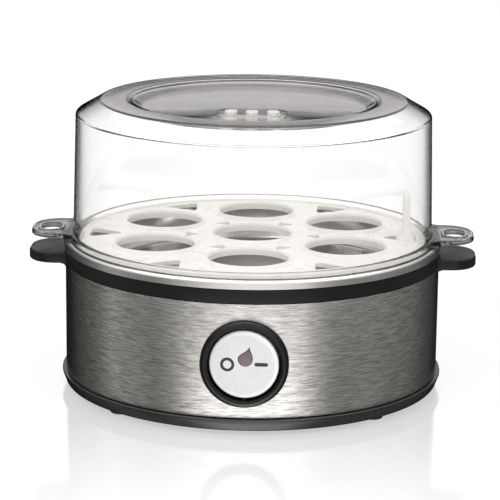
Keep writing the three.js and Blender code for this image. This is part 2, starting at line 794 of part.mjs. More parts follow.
function buildSensors() {
  const capLow = sensorTop - thermostatCap;
  const low = sensorTop - thermostatHeight;
  const barrel = thermostatRadius - thermostatStep;
  const body = revolve([
    [0, low], [barrel, low, softEdge], [barrel, capLow],
    [thermostatRadius, capLow], [thermostatRadius, sensorTop], [0, sensorTop],
  ], innerFacets);
  const tabs = [-1, 1].map((side) => (
    box(terminalThickness, tabWidth, tabLength)
      .translate(side * tabSpacing / 2, 0, low + sunk - tabLength / 2)));
  addPiece('thermostat', join(body, ...tabs).translate(0, -sensorBand, 0), ceramic);

  const wingWidth = 2 * (smallHeadRadius + bracketMargin);
  const outline = shapeOf(panel(bracketSpan + wingWidth, wingWidth, wingWidth / 3));
  const bracketLow = bracketTop - bracketThickness;
  const wings = plate(outline, bracketLow, bracketTop);
  const ring = cylinder(thermostatRadius + bracketMargin, bracketLow, bracketTop, innerFacets);
  const bore = cylinder(barrel + fit, bracketLow - past, bracketTop + past, innerFacets);
  const holes = [-1, 1].map((side) => (
    cylinder(screwRadius + fit, bracketLow - past, bracketTop + past)
      .translate(side * bracketSpan / 2, 0, 0)));
  const bracket = cut(join(wings, ring), bore, ...holes).translate(0, -sensorBand, 0);
  addPiece('thermostat_bracket', bracket, zincSteel);

  const seats = bracketScrewSpots();
  const headTop = bracketTop - bracketThickness - fit;
  seats.slice(0, 2).forEach(([x, y], i) => {
    const fastener = screw(smallHeadRadius, smallHeadHeight, screwRadius, spreaderTop - screwGrip - headTop);
    addPiece(`thermostat_screw_${i + 1}`, fastener.translate(x, y, headTop - smallHeadHeight), zincSteel);
  });

  const fuse = join(
    cylinder(fuseRadius, -fuseLength / 2, fuseLength / 2),
    cylinder(fuseLeadRadius, -fuseLength / 2 - fuseLeadLength, fuseLength / 2 + fuseLeadLength),
  );
  addPiece('thermal_fuse', fuse.rotateY(Math.PI / 2).translate(0, fuseOffset, fuseCentre), zincSteel);

  const inner = fuseRadius + fit;
  const outer = strapReach;
  const bend = 0.8;
  const tongue = fuseScrewOffset + smallHeadRadius + bracketMargin;
  const strapLow = fuseCentre - outer;
  const strap = shapeOf([
    [-outer, sensorTop],
    [-outer, strapLow, outer * bend],
    [outer, strapLow, outer * bend],
    [outer, sensorTop - fuseStrapWall],
    [tongue, sensorTop - fuseStrapWall],
    [tongue, sensorTop],
    [inner, sensorTop],
    [inner, fuseCentre - inner, inner * bend],
    [-inner, fuseCentre - inner, inner * bend],
    [-inner, sensorTop],
  ]);
  const clip = plate(strap, -fuseStrapWidth / 2, fuseStrapWidth / 2);
  clip.rotateX(Math.PI / 2).rotateZ(Math.PI / 2).translate(0, fuseOffset, 0);
  const clipHole = cylinder(screwRadius + fit, sensorTop - fuseStrapWall - past, sensorTop + past);
  const [clipX, clipY] = seats[2];
  addPiece('fuse_clip', cut(clip, clipHole.translate(clipX, clipY, 0)), zincSteel);
  const clipHead = sensorTop - fuseStrapWall - fit;
  const clipScrew = screw(smallHeadRadius, smallHeadHeight, screwRadius, spreaderTop - screwGrip - clipHead);
  addPiece('fuse_screw', clipScrew.translate(clipX, clipY, clipHead - smallHeadHeight), zincSteel);
}

// ---------------------------------------------------------------- switch on the front of the drum
function buildBezel() {
  const flange = faceFront(revolve([
    [bezelBore, bezelBack],
    [bezelRadius, bezelBack],
    [bezelRadius, bezelFront, bezelRound],
    [bezelBore, bezelFront, softEdge],
  ], holeFacets));
  const saddle = cylinder(bandRadius + fit, 0, ringTop, drumFacets);
  const barrel = revolve([
    [bezelBore, barrelBack], [barrelRadius, barrelBack],
    [barrelRadius, bezelFront - bezelRound], [bezelBore, bezelFront - bezelRound],
  ], holeFacets);
  const hookRoot = (bezelBore + barrelRadius) / 2;
  const hookTop = Math.sqrt(bodyInner ** 2 - (barrelRadius + hookReach) ** 2) - 2 * fit;
  const hook = shapeOf([
    [hookRoot, barrelBack], [barrelRadius, barrelBack], [barrelRadius + hookReach, hookTop - hookReach / 2],
    [barrelRadius + hookReach, hookTop], [hookRoot, hookTop],
  ]);
  const hooks = [0, 180].map((turn) => (
    faceFront(plate(hook, -hookWidth / 2, hookWidth / 2).rotateX(Math.PI / 2).rotateZ(toRadians(turn)))));
  const pivotReach = (barrelRadius + bezelRadius) / 2;
  const pivotHoles = cylinder(pivotRadius + fit, switchHeight - pivotReach, switchHeight + pivotReach)
    .translate(0, -pivotDistance, 0);
  const ring = cut(flange, saddle);
  addPiece('switch_bezel', cut(join(ring, faceFront(barrel), ...hooks), pivotHoles), glossBlack);
}

// Drop outline of the pilot light, its tip leaning to the right, with a gap all round when it grows.
function dropShape(grow) {
  const drop = new THREE.Shape();
  const side = lampWidth / 2 + grow;
  const middle = lampWidth / 2 - lampBelow;
  const shoulder = middle + lampWidth * 0.4 + grow;
  const tip = [lampLean + grow * 0.6, lampAbove + grow * 3];
  drop.moveTo(...tip);
  drop.bezierCurveTo(lampLean * 0.7 - grow, shoulder, -side, shoulder, -side, middle);
  drop.absarc(0, middle, side, Math.PI, 2 * Math.PI, false);
  drop.bezierCurveTo(side, shoulder, lampLean * 1.1 + grow, shoulder, ...tip);
  return drop;
}

// Leans a piece of the rocking button about its vertical pivot.
function leanButton(geometry) {
  geometry.translate(0, pivotDistance, 0);
  return geometry.rotateZ(toRadians(-rockerTilt)).translate(0, -pivotDistance, 0);
}

function buildButton() {
  const inside = buttonFront - buttonWall;
  const bore = plungerRadius + fit;
  const boreTop = inside - lampSeat;
  const cap = revolve([
    [0, buttonFront],
    [buttonRadius, buttonFront - buttonDome, 2 * softEdge],
    [buttonRadius, buttonSkirtBack],
    [buttonRadius - buttonSkirtWall, buttonSkirtBack],
    [buttonRadius - buttonSkirtWall, inside],
    [stemRadius, inside],
    [stemRadius, stemBack],
    [bore, stemBack],
    [bore, boreTop],
    [0, boreTop],
  ], holeFacets);
  const stubRoot = buttonRadius - buttonSkirtWall / 2;
  const stubs = [0, Math.PI].map((turn) => (
    cylinder(pivotRadius, stubRoot, barrelRadius - fit)
      .rotateX(turn).translate(0, -pivotDistance, switchHeight)));
  const lensHole = plate(dropShape(fit), inside - fit, buttonFront + past);
  const button = cut(join(faceFront(cap), ...stubs), faceFront(lensHole));
  addPiece('rocker_button', leanButton(button), whitePlastic);
  const lens = plate(dropShape(0), inside, buttonFront);
  addPiece('indicator_lens', leanButton(faceFront(lens)), lampLens);

  const plungerTop = plungerTip + plungerLength;
  const plunger = revolve([
    [0, plungerTip], [plungerRadius, plungerTip + plungerRadius, softEdge],
    [plungerRadius, plungerTop], [0, plungerTop],
  ], smallFacets);
  addPiece('switch_plunger', leanButton(faceFront(plunger)), brass);
  const springRadius = plungerRadius - springWire;
  const springLow = plungerTop + fit + springWire;
  const springHeight = boreTop - fit - springWire - springLow;
  const coilSteps = 6;            // chords of one turn
  const coil = Array.from({ length: springTurns * coilSteps + 1 }, (_, i) => {
    const turn = (2 * Math.PI * i) / coilSteps;
    const height = springLow + (springHeight * i) / (springTurns * coilSteps);
    return new THREE.Vector3(springRadius * Math.cos(turn), springRadius * Math.sin(turn), height);
  });
  const spring = bar(coil, springWire, 4, springTurns * coilSteps);
  addPiece('plunger_spring', leanButton(faceFront(spring)), zincSteel);
}

function blade(x, top, width = terminalWidth) {
  return box(terminalThickness, width, top - terminalEnd).translate(x, 0, (top + terminalEnd) / 2);
}

function buildContacts() {
  const cupFront = barrelBack - fit;
  const cupFloor = switchCupBack + switchCupWall;
  const cup = revolve([
    [0, switchCupBack], [cupRadius, switchCupBack, 2 * softEdge], [cupRadius, cupFront],
    [cupRadius - switchCupWall, cupFront], [cupRadius - switchCupWall, cupFloor], [0, cupFloor],
  ], innerFacets);
  const slots = [-1, 0, 1].map((side) => (
    box(terminalThickness + 2 * fit, terminalWidth + 2 * fit, 4 * switchCupWall)
      .translate(side * terminalSpacing, 0, cupFloor)));
  addPiece('switch_body', cut(faceFront(cup), ...slots.map((slot) => faceFront(slot))), blackPlastic);

  const arm = box(2 * contactHalfLength, contactWidth, contactThickness);
  const tips = [-1, 1].map((side) => (
    cylinder(contactTipRadius, -contactThickness / 2 - contactTipHeight, 0)
      .translate(side * (contactHalfLength - contactTipRadius), 0, 0)));
  const contact = join(arm, ...tips).translate(0, 0, contactPivot);
  const turned = faceFront(contact).translate(0, contactPivot, 0).rotateZ(toRadians(contactTilt));
  addPiece('contact_arm', turned.translate(0, -contactPivot, 0), brass);

  const underside = contactPivot - contactThickness / 2;
  const swing = (contactHalfLength + contactThickness) * Math.sin(toRadians(contactTilt));
  const commonTop = underside - fit - terminalThickness * Math.sin(toRadians(contactTilt));
  addPiece('terminal_common', faceFront(blade(0, commonTop)), brass);
  const padTop = underside - contactTipHeight - swing - fit;
  const padLength = terminalSpacing - contactHalfLength + 2.5 * contactTipRadius;
  const pad = box(padLength, 2.5 * contactTipRadius, terminalThickness);
  const padX = -terminalSpacing - terminalThickness / 2 + padLength / 2;
  const load = join(blade(-terminalSpacing, padTop), pad.translate(padX, 0, padTop - terminalThickness / 2));
  addPiece('terminal_load', faceFront(load), brass);
  addPiece('terminal_lamp', faceFront(blade(terminalSpacing, padTop - 2 * contactTipRadius)), brass);

  const neonLow = cupFloor + 2 * switchCupWall;
  const neonTop = neonLow + neonLength;
  const glass = revolve([
    [0, neonLow], [neonRadius, neonLow, neonRadius / 2],
    [neonRadius, neonTop - softEdge, neonRadius * 0.8], [0, neonTop],
  ], smallFacets);
  const leads = [-1, 1].map((side) => (
    cylinder(neonRadius / 6, cupFloor + fit, neonLow + sunk).translate(side * neonRadius / 2, 0, 0)));
  const neonOffset = terminalWidth / 2 + fit + 2.5 * neonRadius;
  addPiece('neon_lamp', faceFront(join(glass, ...leads).translate(0, neonOffset, 0)), lampLens);
}

// ---------------------------------------------------------------- mains connection and inner wires
function buildConnection() {
  const reach = bezelFront;
  const outerFace = bandRadius + fit;
  const innerFace = Math.sqrt(bodyInner ** 2 - glandLip ** 2) - 2 * fit;
  const gland = revolve([
    [glandBore, innerFace - glandLipDepth - softEdge],
    [glandLip, innerFace - glandLipDepth],
    [glandLip, innerFace],
    [glandBarrel, innerFace],
    [glandBarrel, outerFace],
    [glandFlange, outerFace],
    [glandFlange, outerFace + glandFlangeThickness, softEdge],
    [glandBarrel, reach, softEdge],
    [glandBore, reach],
  ], innerFacets);
  addPiece('cord_gland', faceRear(gland, glandHeight), rubber);

  const low = floorTop + fit;
  const outline = shapeOf(panel(blockLength, blockWidth, 3 * softEdge, 0, blockDistance));
  const block = plate(outline, low, low + blockHeight, softEdge);
  const poles = [-1, 0, 1].map((side) => side * blockPitch);
  const height = low + blockBoreHeight;
  const bores = poles.map((x) => (
    cylinder(blockBoreRadius, -blockWidth, blockWidth)
      .rotateX(Math.PI / 2).translate(x, blockDistance, height)));
  const screwWells = poles.map((x) => (
    cylinder(blockScrewRadius, height, low + blockHeight + past).translate(x, blockDistance, 0)));
  addPiece('terminal_block', cut(block, ...bores, ...screwWells), ceramic);
  return { poles, front: blockDistance - blockWidth / 2 - fit, height };
}

function buildWires(elementEnds, block) {
  const point = (x, y, z) => new THREE.Vector3(x, y, z);
  const wire = (name, color, points) => (
    addPiece(name, bar(points, wireRadius, 5, 12), { color, roughness: 0.6, metalness: 0 }));
  const bladeBack = -terminalEnd + fit;
  const tabX = tabSpacing / 2;
  const tabY = -sensorBand;
  const tabLow = sensorTop - thermostatHeight + sunk - tabLength - fit;
  const [leftPin, rightPin] = elementEnds[0].x < 0 ? elementEnds : [...elementEnds].reverse();
  const pinLow = leftPin.z - elementPinLength - fit;
  const leadEnd = fuseLength / 2 + fuseLeadLength + 2 * fit;
  const sideRun = elementCircle - wireStub;
  const floorRun = floorTop + wireStub;
  wire('wire_switch_thermostat', 0x8a2b22, [
    point(-terminalSpacing, bladeBack, switchHeight),
    point(-terminalSpacing, bladeBack + wireStub, switchHeight),
    point(-terminalSpacing, bladeBack + 2 * wireStub, switchHeight - 2 * wireRadius),
    point(-tabX - 2 * wireRadius, tabY - wireStub, tabLow - 2 * wireStub),
    point(-tabX, tabY, tabLow - wireStub),
    point(-tabX, tabY, tabLow),
  ]);
  wire('wire_thermostat_element', 0x8a2b22, [
    point(tabX, tabY, tabLow),
    point(tabX, tabY, tabLow - wireStub),
    point(sideRun * 0.6, tabY / 3, tabLow - 2 * wireStub),
    point(sideRun * 0.8, rightPin.y / 2, pinLow - wireStub),
    point(rightPin.x + wireStub / 2, rightPin.y - wireStub / 2, pinLow - 1.5 * wireStub),
    point(rightPin.x, rightPin.y, pinLow - wireStub),
    point(rightPin.x, rightPin.y, pinLow),
  ]);
  wire('wire_element_fuse', 0x3a3c8c, [
    point(leftPin.x, leftPin.y, pinLow),
    point(leftPin.x, leftPin.y, pinLow - wireStub),
    point(leftPin.x - 1.5 * wireStub, leftPin.y - wireStub, pinLow - wireStub),
    point(-sideRun * 0.8, fuseOffset, (pinLow + fuseCentre) / 2 - wireStub),
    point(-leadEnd - wireStub, fuseOffset, fuseCentre - 2 * wireRadius),
    point(-leadEnd, fuseOffset, fuseCentre),
  ]);
  wire('wire_fuse_block', 0x3a3c8c, [
    point(leadEnd, fuseOffset, fuseCentre),
    point(leadEnd + wireStub, fuseOffset, fuseCentre - 2 * wireRadius),
    point(sideRun * 0.9, fuseOffset + wireStub, (pinLow + fuseCentre) / 2),
    point(sideRun * 0.85, (fuseOffset + block.front) / 2 + wireStub, floorRun + wireStub),
    point(block.poles[2], block.front - wireStub, block.height + wireRadius),
    point(block.poles[2], block.front, block.height),
  ]);
  wire('wire_block_switch', 0x6b4423, [
    point(block.poles[0], block.front, block.height),
    point(block.poles[0], block.front - wireStub, block.height),
    point(-sideRun, elementCircle / 2, floorRun + wireRadius),
    point(-sideRun, -elementCircle / 2, floorRun + wireStub),
    point(-sideRun / 2, -elementCircle, floorRun + wireStub),
    point(0, bladeBack + 2 * wireStub, switchHeight - 1.5 * wireStub),
    point(0, bladeBack + wireStub, switchHeight),
    point(0, bladeBack, switchHeight),
  ]);
  wire('wire_block_lamp', 0x3a3c8c, [
    point(block.poles[1], block.front, block.height),
    point(block.poles[1], block.front - wireStub, block.height),
    point(sideRun, elementCircle / 4, floorRun),
    point(sideRun + wireStub, -elementCircle / 2, floorRun + wireStub),
    point(sideRun / 2, bladeBack + wireStub, switchHeight - wireStub),
    point(terminalSpacing, bladeBack + wireStub, switchHeight),
    point(terminalSpacing, bladeBack, switchHeight),
  ]);
}

// ---------------------------------------------------------------- egg tray
function drainTriangle(apex, base, halfWidth, corner) {
  return [[apex, 0, corner], [base, -halfWidth, corner], [base, halfWidth, corner]];
}

function buildTray() {
  const rimInner = trayRadius - trayRimWidth;
  const disc = revolve([
    [0, trayLow],
    [trayRadius, trayLow],
    [trayRadius, trayTop + trayRimHeight, softEdge],
    [rimInner, trayTop + trayRimHeight],
    [rimInner - softEdge, trayTop],
    [0, trayTop],
  ]);
  const step = 360 / eggCount;
  const turns = Array.from({ length: eggCount }, (_, i) => i * step);
  const spots = [[0, 0], ...turns.map((angle) => [eggCircle, angle + step / 2])];
  const lipTop = trayTop + eggLipHeight;
  const lipInner = eggHoleRadius - sunk;
  const lip = [
    [lipInner, trayTop - sunk],
    [eggHoleRadius + eggLipWidth + sunk, trayTop - sunk],
    [eggHoleRadius + eggLipWidth / 2, lipTop],
    [lipInner, lipTop],
  ];
  const lips = spots.map(([radius, angle]) => atAngle(revolve(lip, eggFacets), radius, angle));
  const cup = [
    [0, trayLow - past],
    [eggHoleRadius, trayLow - past],
    [eggHoleRadius, lipTop - eggLipChamfer],
    [eggHoleRadius + 1.2 * eggLipChamfer, lipTop + eggLipChamfer * 0.2],
    [0, lipTop + eggLipChamfer * 0.2],
  ];
  const holes = spots.map(([radius, angle]) => atAngle(revolve(cup, eggFacets), radius, angle));
  const outerDrain = shapeOf(drainTriangle(drainApex, drainBase, drainHalfWidth, drainCorner));
  const innerCentre = eggCircle * Math.cos(toRadians(step / 2)) * 2 / 3;
  const innerBase = innerCentre + innerDrainRadius / 2;
  const innerDrain = shapeOf(
    drainTriangle(innerCentre - innerDrainRadius, innerBase, innerDrainRadius, drainCorner / 2));
  const drains = turns.flatMap((angle) => [outerDrain, innerDrain].map((outline) => (
    plate(outline, trayLow - past, trayTop + past).rotateZ(toRadians(angle)))));

  const halfThick = gripThickness / 2;
  const footLevel = (trayLow + trayTop) / 2;
  const topLevel = trayTop + gripHeight;
  const flareTop = trayTop + gripFlareHeight;
  const edgeView = shapeOf([
    [-halfThick, topLevel, halfThick],
    [-halfThick, flareTop, gripFlareHeight],
    [-halfThick - gripFlare, footLevel],
    [halfThick + gripFlare, footLevel],
    [halfThick, flareTop, gripFlareHeight],
    [halfThick, topLevel, halfThick],
  ]);
  const flatView = shapeOf([
    [-gripWidth / 2, footLevel],
    [gripWidth / 2, footLevel],
    [gripWidth / 2, trayTop + past],
    [gripTopWidth / 2, topLevel, gripCorner],
    [-gripTopWidth / 2, topLevel, gripCorner],
    [-gripWidth / 2, trayTop + past],
  ]);
  const thick = plate(edgeView, -gripWidth, gripWidth).rotateX(Math.PI / 2);
  const tall = plate(flatView, -gripWidth, gripWidth).rotateX(Math.PI / 2).rotateZ(Math.PI / 2);
  const tab = common(thick, tall).translate(gripRadius, 0, 0);
  const tray = join(cut(join(disc, ...lips), ...holes, ...drains), tab);
  addPiece('egg_tray', tray, whitePlastic);
}

// ---------------------------------------------------------------- clear lid
function ear() {
  const flangeTop = lidLow + lidFlangeThickness;
  const root = lidFlangeRadius - 2;
  const outline = (inset) => shapeOf([
    [root - earFlare / 2, -earWidth / 2 - earFlare + inset],
    [root + earFlare, -earWidth / 2 + inset, earFlare],
    [earReach - inset, -earWidth / 2 + inset, earCorner - inset],
    [earReach - inset, earWidth / 2 - inset, earCorner - inset],
    [root + earFlare, earWidth / 2 - inset, earFlare],
    [root - earFlare / 2, earWidth / 2 + earFlare - inset],
  ]);
  const slab = plate(outline(0), lidLow, flangeTop, softEdge);
  const field = plate(outline(earRimWidth), flangeTop - earFieldDepth, flangeTop + past);
  const slotX = earReach - earSlotInset - earSlotWidth / 2;
  const slotCorner = earSlotWidth * 0.4;
  const rim = 2 * earRimWidth;
  const rimPanel = panel(earSlotWidth + rim, earSlotLength + rim, slotCorner, slotX, 0);
  const slotRim = plate(shapeOf(rimPanel), lidLow + sunk, flangeTop);
  const slotPanel = panel(earSlotWidth, earSlotLength, slotCorner, slotX, 0);
  const slot = plate(shapeOf(slotPanel), lidLow - past, flangeTop + past);
  const flange = cylinder(lidFlangeRadius, flangeTop - 2 * earFieldDepth, flangeTop + 2 * past, drumFacets);
  return cut(join(cut(slab, cut(field, flange)), slotRim), slot);
}

function buildLid() {
  const flangeTop = lidLow + lidFlangeThickness;
  const slope = lidDraft / (lidTopHeight - lidShoulderDrop - lidFlangeThickness);
  const surface = [
    [0, recessFloor],
    [recessFloorRadius, recessFloor, lidCrease],
    [recessMouthRadius, lidTop, lidCrease],
    [lidTopRadius, lidTop, lidCrease],
    [lidShoulderRadius, lidTop - lidShoulderDrop, 2 * lidCrease],
    [lidBaseRadius + slope * lidFlangeThickness, lidLow],
  ];
  const inside = offsetPath(surface, lidWall).reverse();
  const innerFoot = inside.shift();
  const ribOuter = panStepRadius - fit - ribClear;
  const ribLow = lidLow - lidRibDepth;
  const dome = revolve([
    ...surface.slice(0, -1),
    [lidBaseRadius, flangeTop],
    [lidFlangeRadius, flangeTop],
    [lidFlangeRadius, lidLow],
    [ribOuter, lidLow],
    [ribOuter, ribLow],
    [innerFoot[0], ribLow],
    ...inside,
  ]);

  const padLength = (ventCount - 1) * ventPitch + 2 * ventRadius + 2 * ventPadMargin;
  const padCorner = ventPadWidth * 0.42;
  const padTop = lidTop - ventPadDrop;
  const pad = plate(
    shapeOf(panel(padLength, ventPadWidth, padCorner, 0, -ventOffset)),
    recessFloor - lidWall / 2, padTop, softEdge);
  const hollow = plate(
    shapeOf(panel(padLength - 2 * lidWall, ventPadWidth - 2 * lidWall, padCorner - lidWall, 0, -ventOffset)),
    recessFloor - 2 * lidWall, padTop - lidWall);
  const vents = Array.from({ length: ventCount }, (_, i) => (
    cylinder(ventRadius, recessFloor - 2 * lidWall, lidTop + past)
      .translate((i - (ventCount - 1) / 2) * ventPitch, -ventOffset, 0)));
  const bore = cylinder(lidBaseRadius - lidWall / 2, lidLow - past, flangeTop + past, drumFacets);
  const ears = [0, Math.PI].map((turn) => cut(ear(), bore).rotateZ(turn));
  addPiece('lid', cut(join(dome, pad, ...ears), hollow, ...vents), clearPlastic);
}

buildBase();
buildBody();
buildBand();
buildPan();
const elementEnds = buildHeater();
buildSensors();
buildBezel();
buildButton();
buildContacts();
const block = buildConnection();
buildWires(elementEnds, block);
buildTray();
buildLid();

export default eggCooker;
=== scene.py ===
"""Egg cooker: the looks of every surface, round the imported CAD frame."""
import json
from math import acos, atan2, ceil, cos, hypot, pi, radians, sin, sqrt, tan

import bmesh
import bpy
from mathutils import Matrix, Vector


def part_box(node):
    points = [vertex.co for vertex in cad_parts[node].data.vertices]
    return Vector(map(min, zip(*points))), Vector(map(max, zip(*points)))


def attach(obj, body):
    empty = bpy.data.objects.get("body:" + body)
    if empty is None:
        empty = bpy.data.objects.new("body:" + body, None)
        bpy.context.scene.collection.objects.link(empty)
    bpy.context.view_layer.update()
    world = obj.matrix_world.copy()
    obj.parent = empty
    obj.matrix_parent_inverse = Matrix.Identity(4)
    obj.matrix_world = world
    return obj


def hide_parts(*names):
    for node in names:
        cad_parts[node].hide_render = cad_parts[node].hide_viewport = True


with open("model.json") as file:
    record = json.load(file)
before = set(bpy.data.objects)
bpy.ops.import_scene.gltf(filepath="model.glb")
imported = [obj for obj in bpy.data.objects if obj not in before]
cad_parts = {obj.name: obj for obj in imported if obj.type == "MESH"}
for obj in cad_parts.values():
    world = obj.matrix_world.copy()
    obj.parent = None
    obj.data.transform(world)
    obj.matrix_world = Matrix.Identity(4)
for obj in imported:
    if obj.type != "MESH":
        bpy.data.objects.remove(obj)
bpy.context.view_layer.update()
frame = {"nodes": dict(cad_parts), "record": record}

# ---- sizes in millimetres
MM = 0.001
FIT = 0.3  # clearance between seated pieces, as in the CAD model
ROUND = 288  # facets round the drum
SMALL_ROUND = 96  # facets round the switch, the egg holes and the feet
TINY_ROUND = 32  # facets round screws and studs
CHORD = 0.012  # how far a fillet's chords may leave its arc
PAST = 1.0  # a cutter runs past a face by this
SUNK = 0.5  # a joined solid starts this far inside its neighbour
SOFT = 0.5  # small moulded edge radius


def box_mm(node):
    """Lowest and highest corner of a CAD node, in millimetres."""
    low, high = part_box(node)
    return low / MM, high / MM


BASE_LOW, BASE_HIGH = box_mm("base_shell")
BODY_HIGH = box_mm("body_shell")[1]
BAND_LOW, BAND_HIGH = box_mm("steel_band")
PAN_LOW, PAN_HIGH = box_mm("heating_pan")
TRAY_LOW, TRAY_HIGH = box_mm("egg_tray")
LID_LOW, LID_HIGH = box_mm("lid")
BEZEL_LOW, BEZEL_HIGH = box_mm("switch_bezel")
GLAND_LOW, GLAND_HIGH = box_mm("cord_gland")
FOOT_HIGH = box_mm("foot_1")[1]
SCREW_LOW = box_mm("base_screw_1")[0]

# Base
base_low = BASE_LOW.z
base_radius = BASE_HIGH.y
base_height = 5.3
base_top = base_low + base_height
base_lip = 1.2
base_step = 0.4
base_undercut = 1.7
base_floor = base_low + 2.4
base_low_radius = base_radius - base_undercut
spigot_top = base_top + 7
base_panel_depth = 0.8
slot_circle = 26.0
foot_circle = base_low_radius - 6.8
foot_radius = 4.7
foot_angles = (45, 135, 225, 315)

# Base screws, with the posts of the base and the bosses of the drum
screw_circle = 74.0
screw_angles = (20, 160, 200, 340)
screw_radius = 1.5
screw_head = 3.0
head_height = 2.1
post_radius = 5.2
post_top = base_floor + 3.6
boss_radius = 4.0
boss_low = post_top + FIT
boss_top = 32.0
base_panel_radius = screw_circle - screw_head - FIT - 4.7

# Drum
band_radius = BAND_HIGH.y
band_low = BAND_LOW.z
band_top = BAND_HIGH.z
band_wall = 0.6
body_radius = band_radius - band_wall - FIT
body_inner = body_radius - 2.2
ring_low = band_top + FIT
ring_top = ring_low + 6
ring_radius = band_radius + 0.4
collar_top = BODY_HIGH.z
handle_reach = BODY_HIGH.x
handle_half_width = 15.5
handle_top = ring_top - 2.4
handle_height = 4.9
switch_height = (BEZEL_LOW.z + BEZEL_HIGH.z) / 2
gland_height = (GLAND_LOW.z + GLAND_HIGH.z) / 2

# Mains gland
gland_bore = 3.5
gland_neck = 5.0

# Pan
pan_wall = 0.8
pan_top = PAN_HIGH.z
skirt_low = ring_top + FIT
pan_rim_radius = PAN_HIGH.y
pan_step_radius = body_inner - FIT - pan_wall
ledge_top = pan_top - 1.9
ledge_inner = pan_step_radius - 4.8
pan_floor = switch_height + 16.5 + 0.7 + pan_wall  # 0.7 clear over the switch's cup
stud_radius = 1.25
stud_circle = body_inner - 2 * FIT - 2.5
lug_angles = (90, 210, 330)
lug_wall = 2.5
lug_top = ledge_top - pan_wall - 3
lug_low = lug_top - lug_wall
nut_height = 2.4
stud_end = 1.5

# Lid
lid_wall = 2.0
lid_seat = pan_top + FIT
lid_top = LID_HIGH.z
flange_height = 2.4
flange_top = lid_seat + flange_height
shoulder_drop = 6.4
lid_base_radius = pan_step_radius + 0.6
lid_flange_radius = pan_rim_radius - 2.75
lid_shoulder_radius = lid_base_radius - 1.35
lid_lean = (lid_base_radius - lid_shoulder_radius) / (lid_top - lid_seat - shoulder_drop - flange_height)
lid_top_radius = lid_shoulder_radius - 11.05
recess_mouth = lid_top_radius - 14
recess_radius = recess_mouth - 4.5
recess_floor = lid_top - 3.7
ear_reach = LID_HIGH.x
ear_half_width = 16.0
pad_offset = 23.0
pad_depth = 14.0
vent_offset = 23.0
vent_length = 8.6
vent_pitch = 9.3
vent_radius = 2.5

# Tray
tray_low = TRAY_LOW.z
tray_top = tray_low + 1.8
tray_radius = TRAY_HIGH.y
tray_lip = 1.7
egg_hole = 17.4
egg_circle = tray_radius - 10.6 - 2 - egg_hole
grip_radius = tray_radius - 8.9

# Switch
bezel_front = -BEZEL_LOW.y
bezel_radius = 18.95
bezel_bore = 15.9
barrel_radius = 17.0
barrel_back = band_radius - 9
button_radius = 14.8
button_front = bezel_front - 0.52
button_dome = 0.5
pivot_distance = button_front - 3.5
rocker_tilt = 4.0


# ---- outlines
def corner_of(corners, index):
    """A corner's point, the directions of its two walls, half its angle and the length of the wall ahead."""
    here = Vector(corners[index][:2])
    last = Vector(corners[index - 1][:2])
    following = Vector(corners[(index + 1) % len(corners)][:2])
    back = (last - here).normalized()
    ahead = (following - here).normalized()
    half = acos(max(-1.0, min(1.0, back.dot(ahead)))) / 2
    return here, back, ahead, half, (following - here).length


def rounded(corners):
    """Points of a closed outline of (x, y) or (x, y, radius) corners."""
    bends = []
    for index, corner in enumerate(corners):
        radius = corner[2] if len(corner) > 2 else 0.0
        here, back, ahead, half, wall = corner_of(corners, index)
        bends.append((here, back, ahead, half, wall, radius, radius / tan(half) if radius > 0 else 0.0))
    shares = []
    for index, bend in enumerate(bends):
        wanted = bend[6] + bends[(index + 1) % len(bends)][6]
        shares.append(bend[4] / wanted if wanted > bend[4] else 1.0)
    points = []
    for index, (here, back, ahead, half, _, radius, _) in enumerate(bends):
        if radius <= 0:
            points.append(here)
            continue
        radius *= min(shares[index], shares[index - 1])
        reach = radius / tan(half)
        start = here + back * reach
        end = here + ahead * reach
        middle = here + (back + ahead).normalized() * (radius / sin(half))
        first = atan2(start.y - middle.y, start.x - middle.x)
        last = atan2(end.y - middle.y, end.x - middle.x)
        turn = (last - first + pi) % (2 * pi) - pi
        chord = 2 * acos(max(1 - CHORD / radius, 0.0))
        steps = max(2, ceil(abs(turn) / chord))
        for i in range(steps + 1):
            angle = first + turn * i / steps
            points.append(middle + Vector((cos(angle), sin(angle))) * radius)
    return points


def offset_path(path, wall):
    """The same path moved sideways by a wall, to its right-hand side."""
    normals = []
    for (x, y, *_), (x2, y2, *_) in zip(path, path[1:]):
        along = Vector((x2 - x, y2 - y)).normalized()
        normals.append(Vector((along.y, -along.x)))
    moved = []
    for i, corner in enumerate(path):
        radius = corner[2] if len(corner) > 2 else 0.0
        before = normals[max(i - 1, 0)]
        after = normals[min(i, len(normals) - 1)]
        middle = (before + after).normalized()
        reach = wall / middle.dot(after)
        turn = before.x * after.y - before.y * after.x
        bend = radius + (wall if turn > 0 else -wall) if radius > wall else min(radius, 0.4)
        moved.append((corner[0] + middle.x * reach, corner[1] + middle.y * reach, max(bend, 0.0)))
    return moved


def panel(width, depth, corner, x=0.0, y=0.0):
    """Corners of a rounded rectangle centred on a point."""
    return [
        (x - width / 2, y - depth / 2, corner), (x + width / 2, y - depth / 2, corner),
        (x + width / 2, y + depth / 2, corner), (x - width / 2, y + depth / 2, corner),
    ]


def grown(outline, distance):
    """The outline with every point moved outwards, for a counter-clockwise outline."""
    count = len(outline)
    result = []
    for i, here in enumerate(outline):
        before = here - outline[i - 1]
        after = outline[(i + 1) % count] - here
        if before.length < 1e-9:
            before = after
        if after.length < 1e-9:
            after = before
        n1 = Vector((before.y, -before.x)).normalized()
        n2 = Vector((after.y, -after.x)).normalized()
        middle = (n1 + n2).normalized()
        result.append(here + middle * (distance / max(middle.dot(n1), 0.3)))
    return result


def area(outline):
    return sum(a.x * b.y - b.x * a.y for a, b in zip(outline, outline[1:] + outline[:1])) / 2


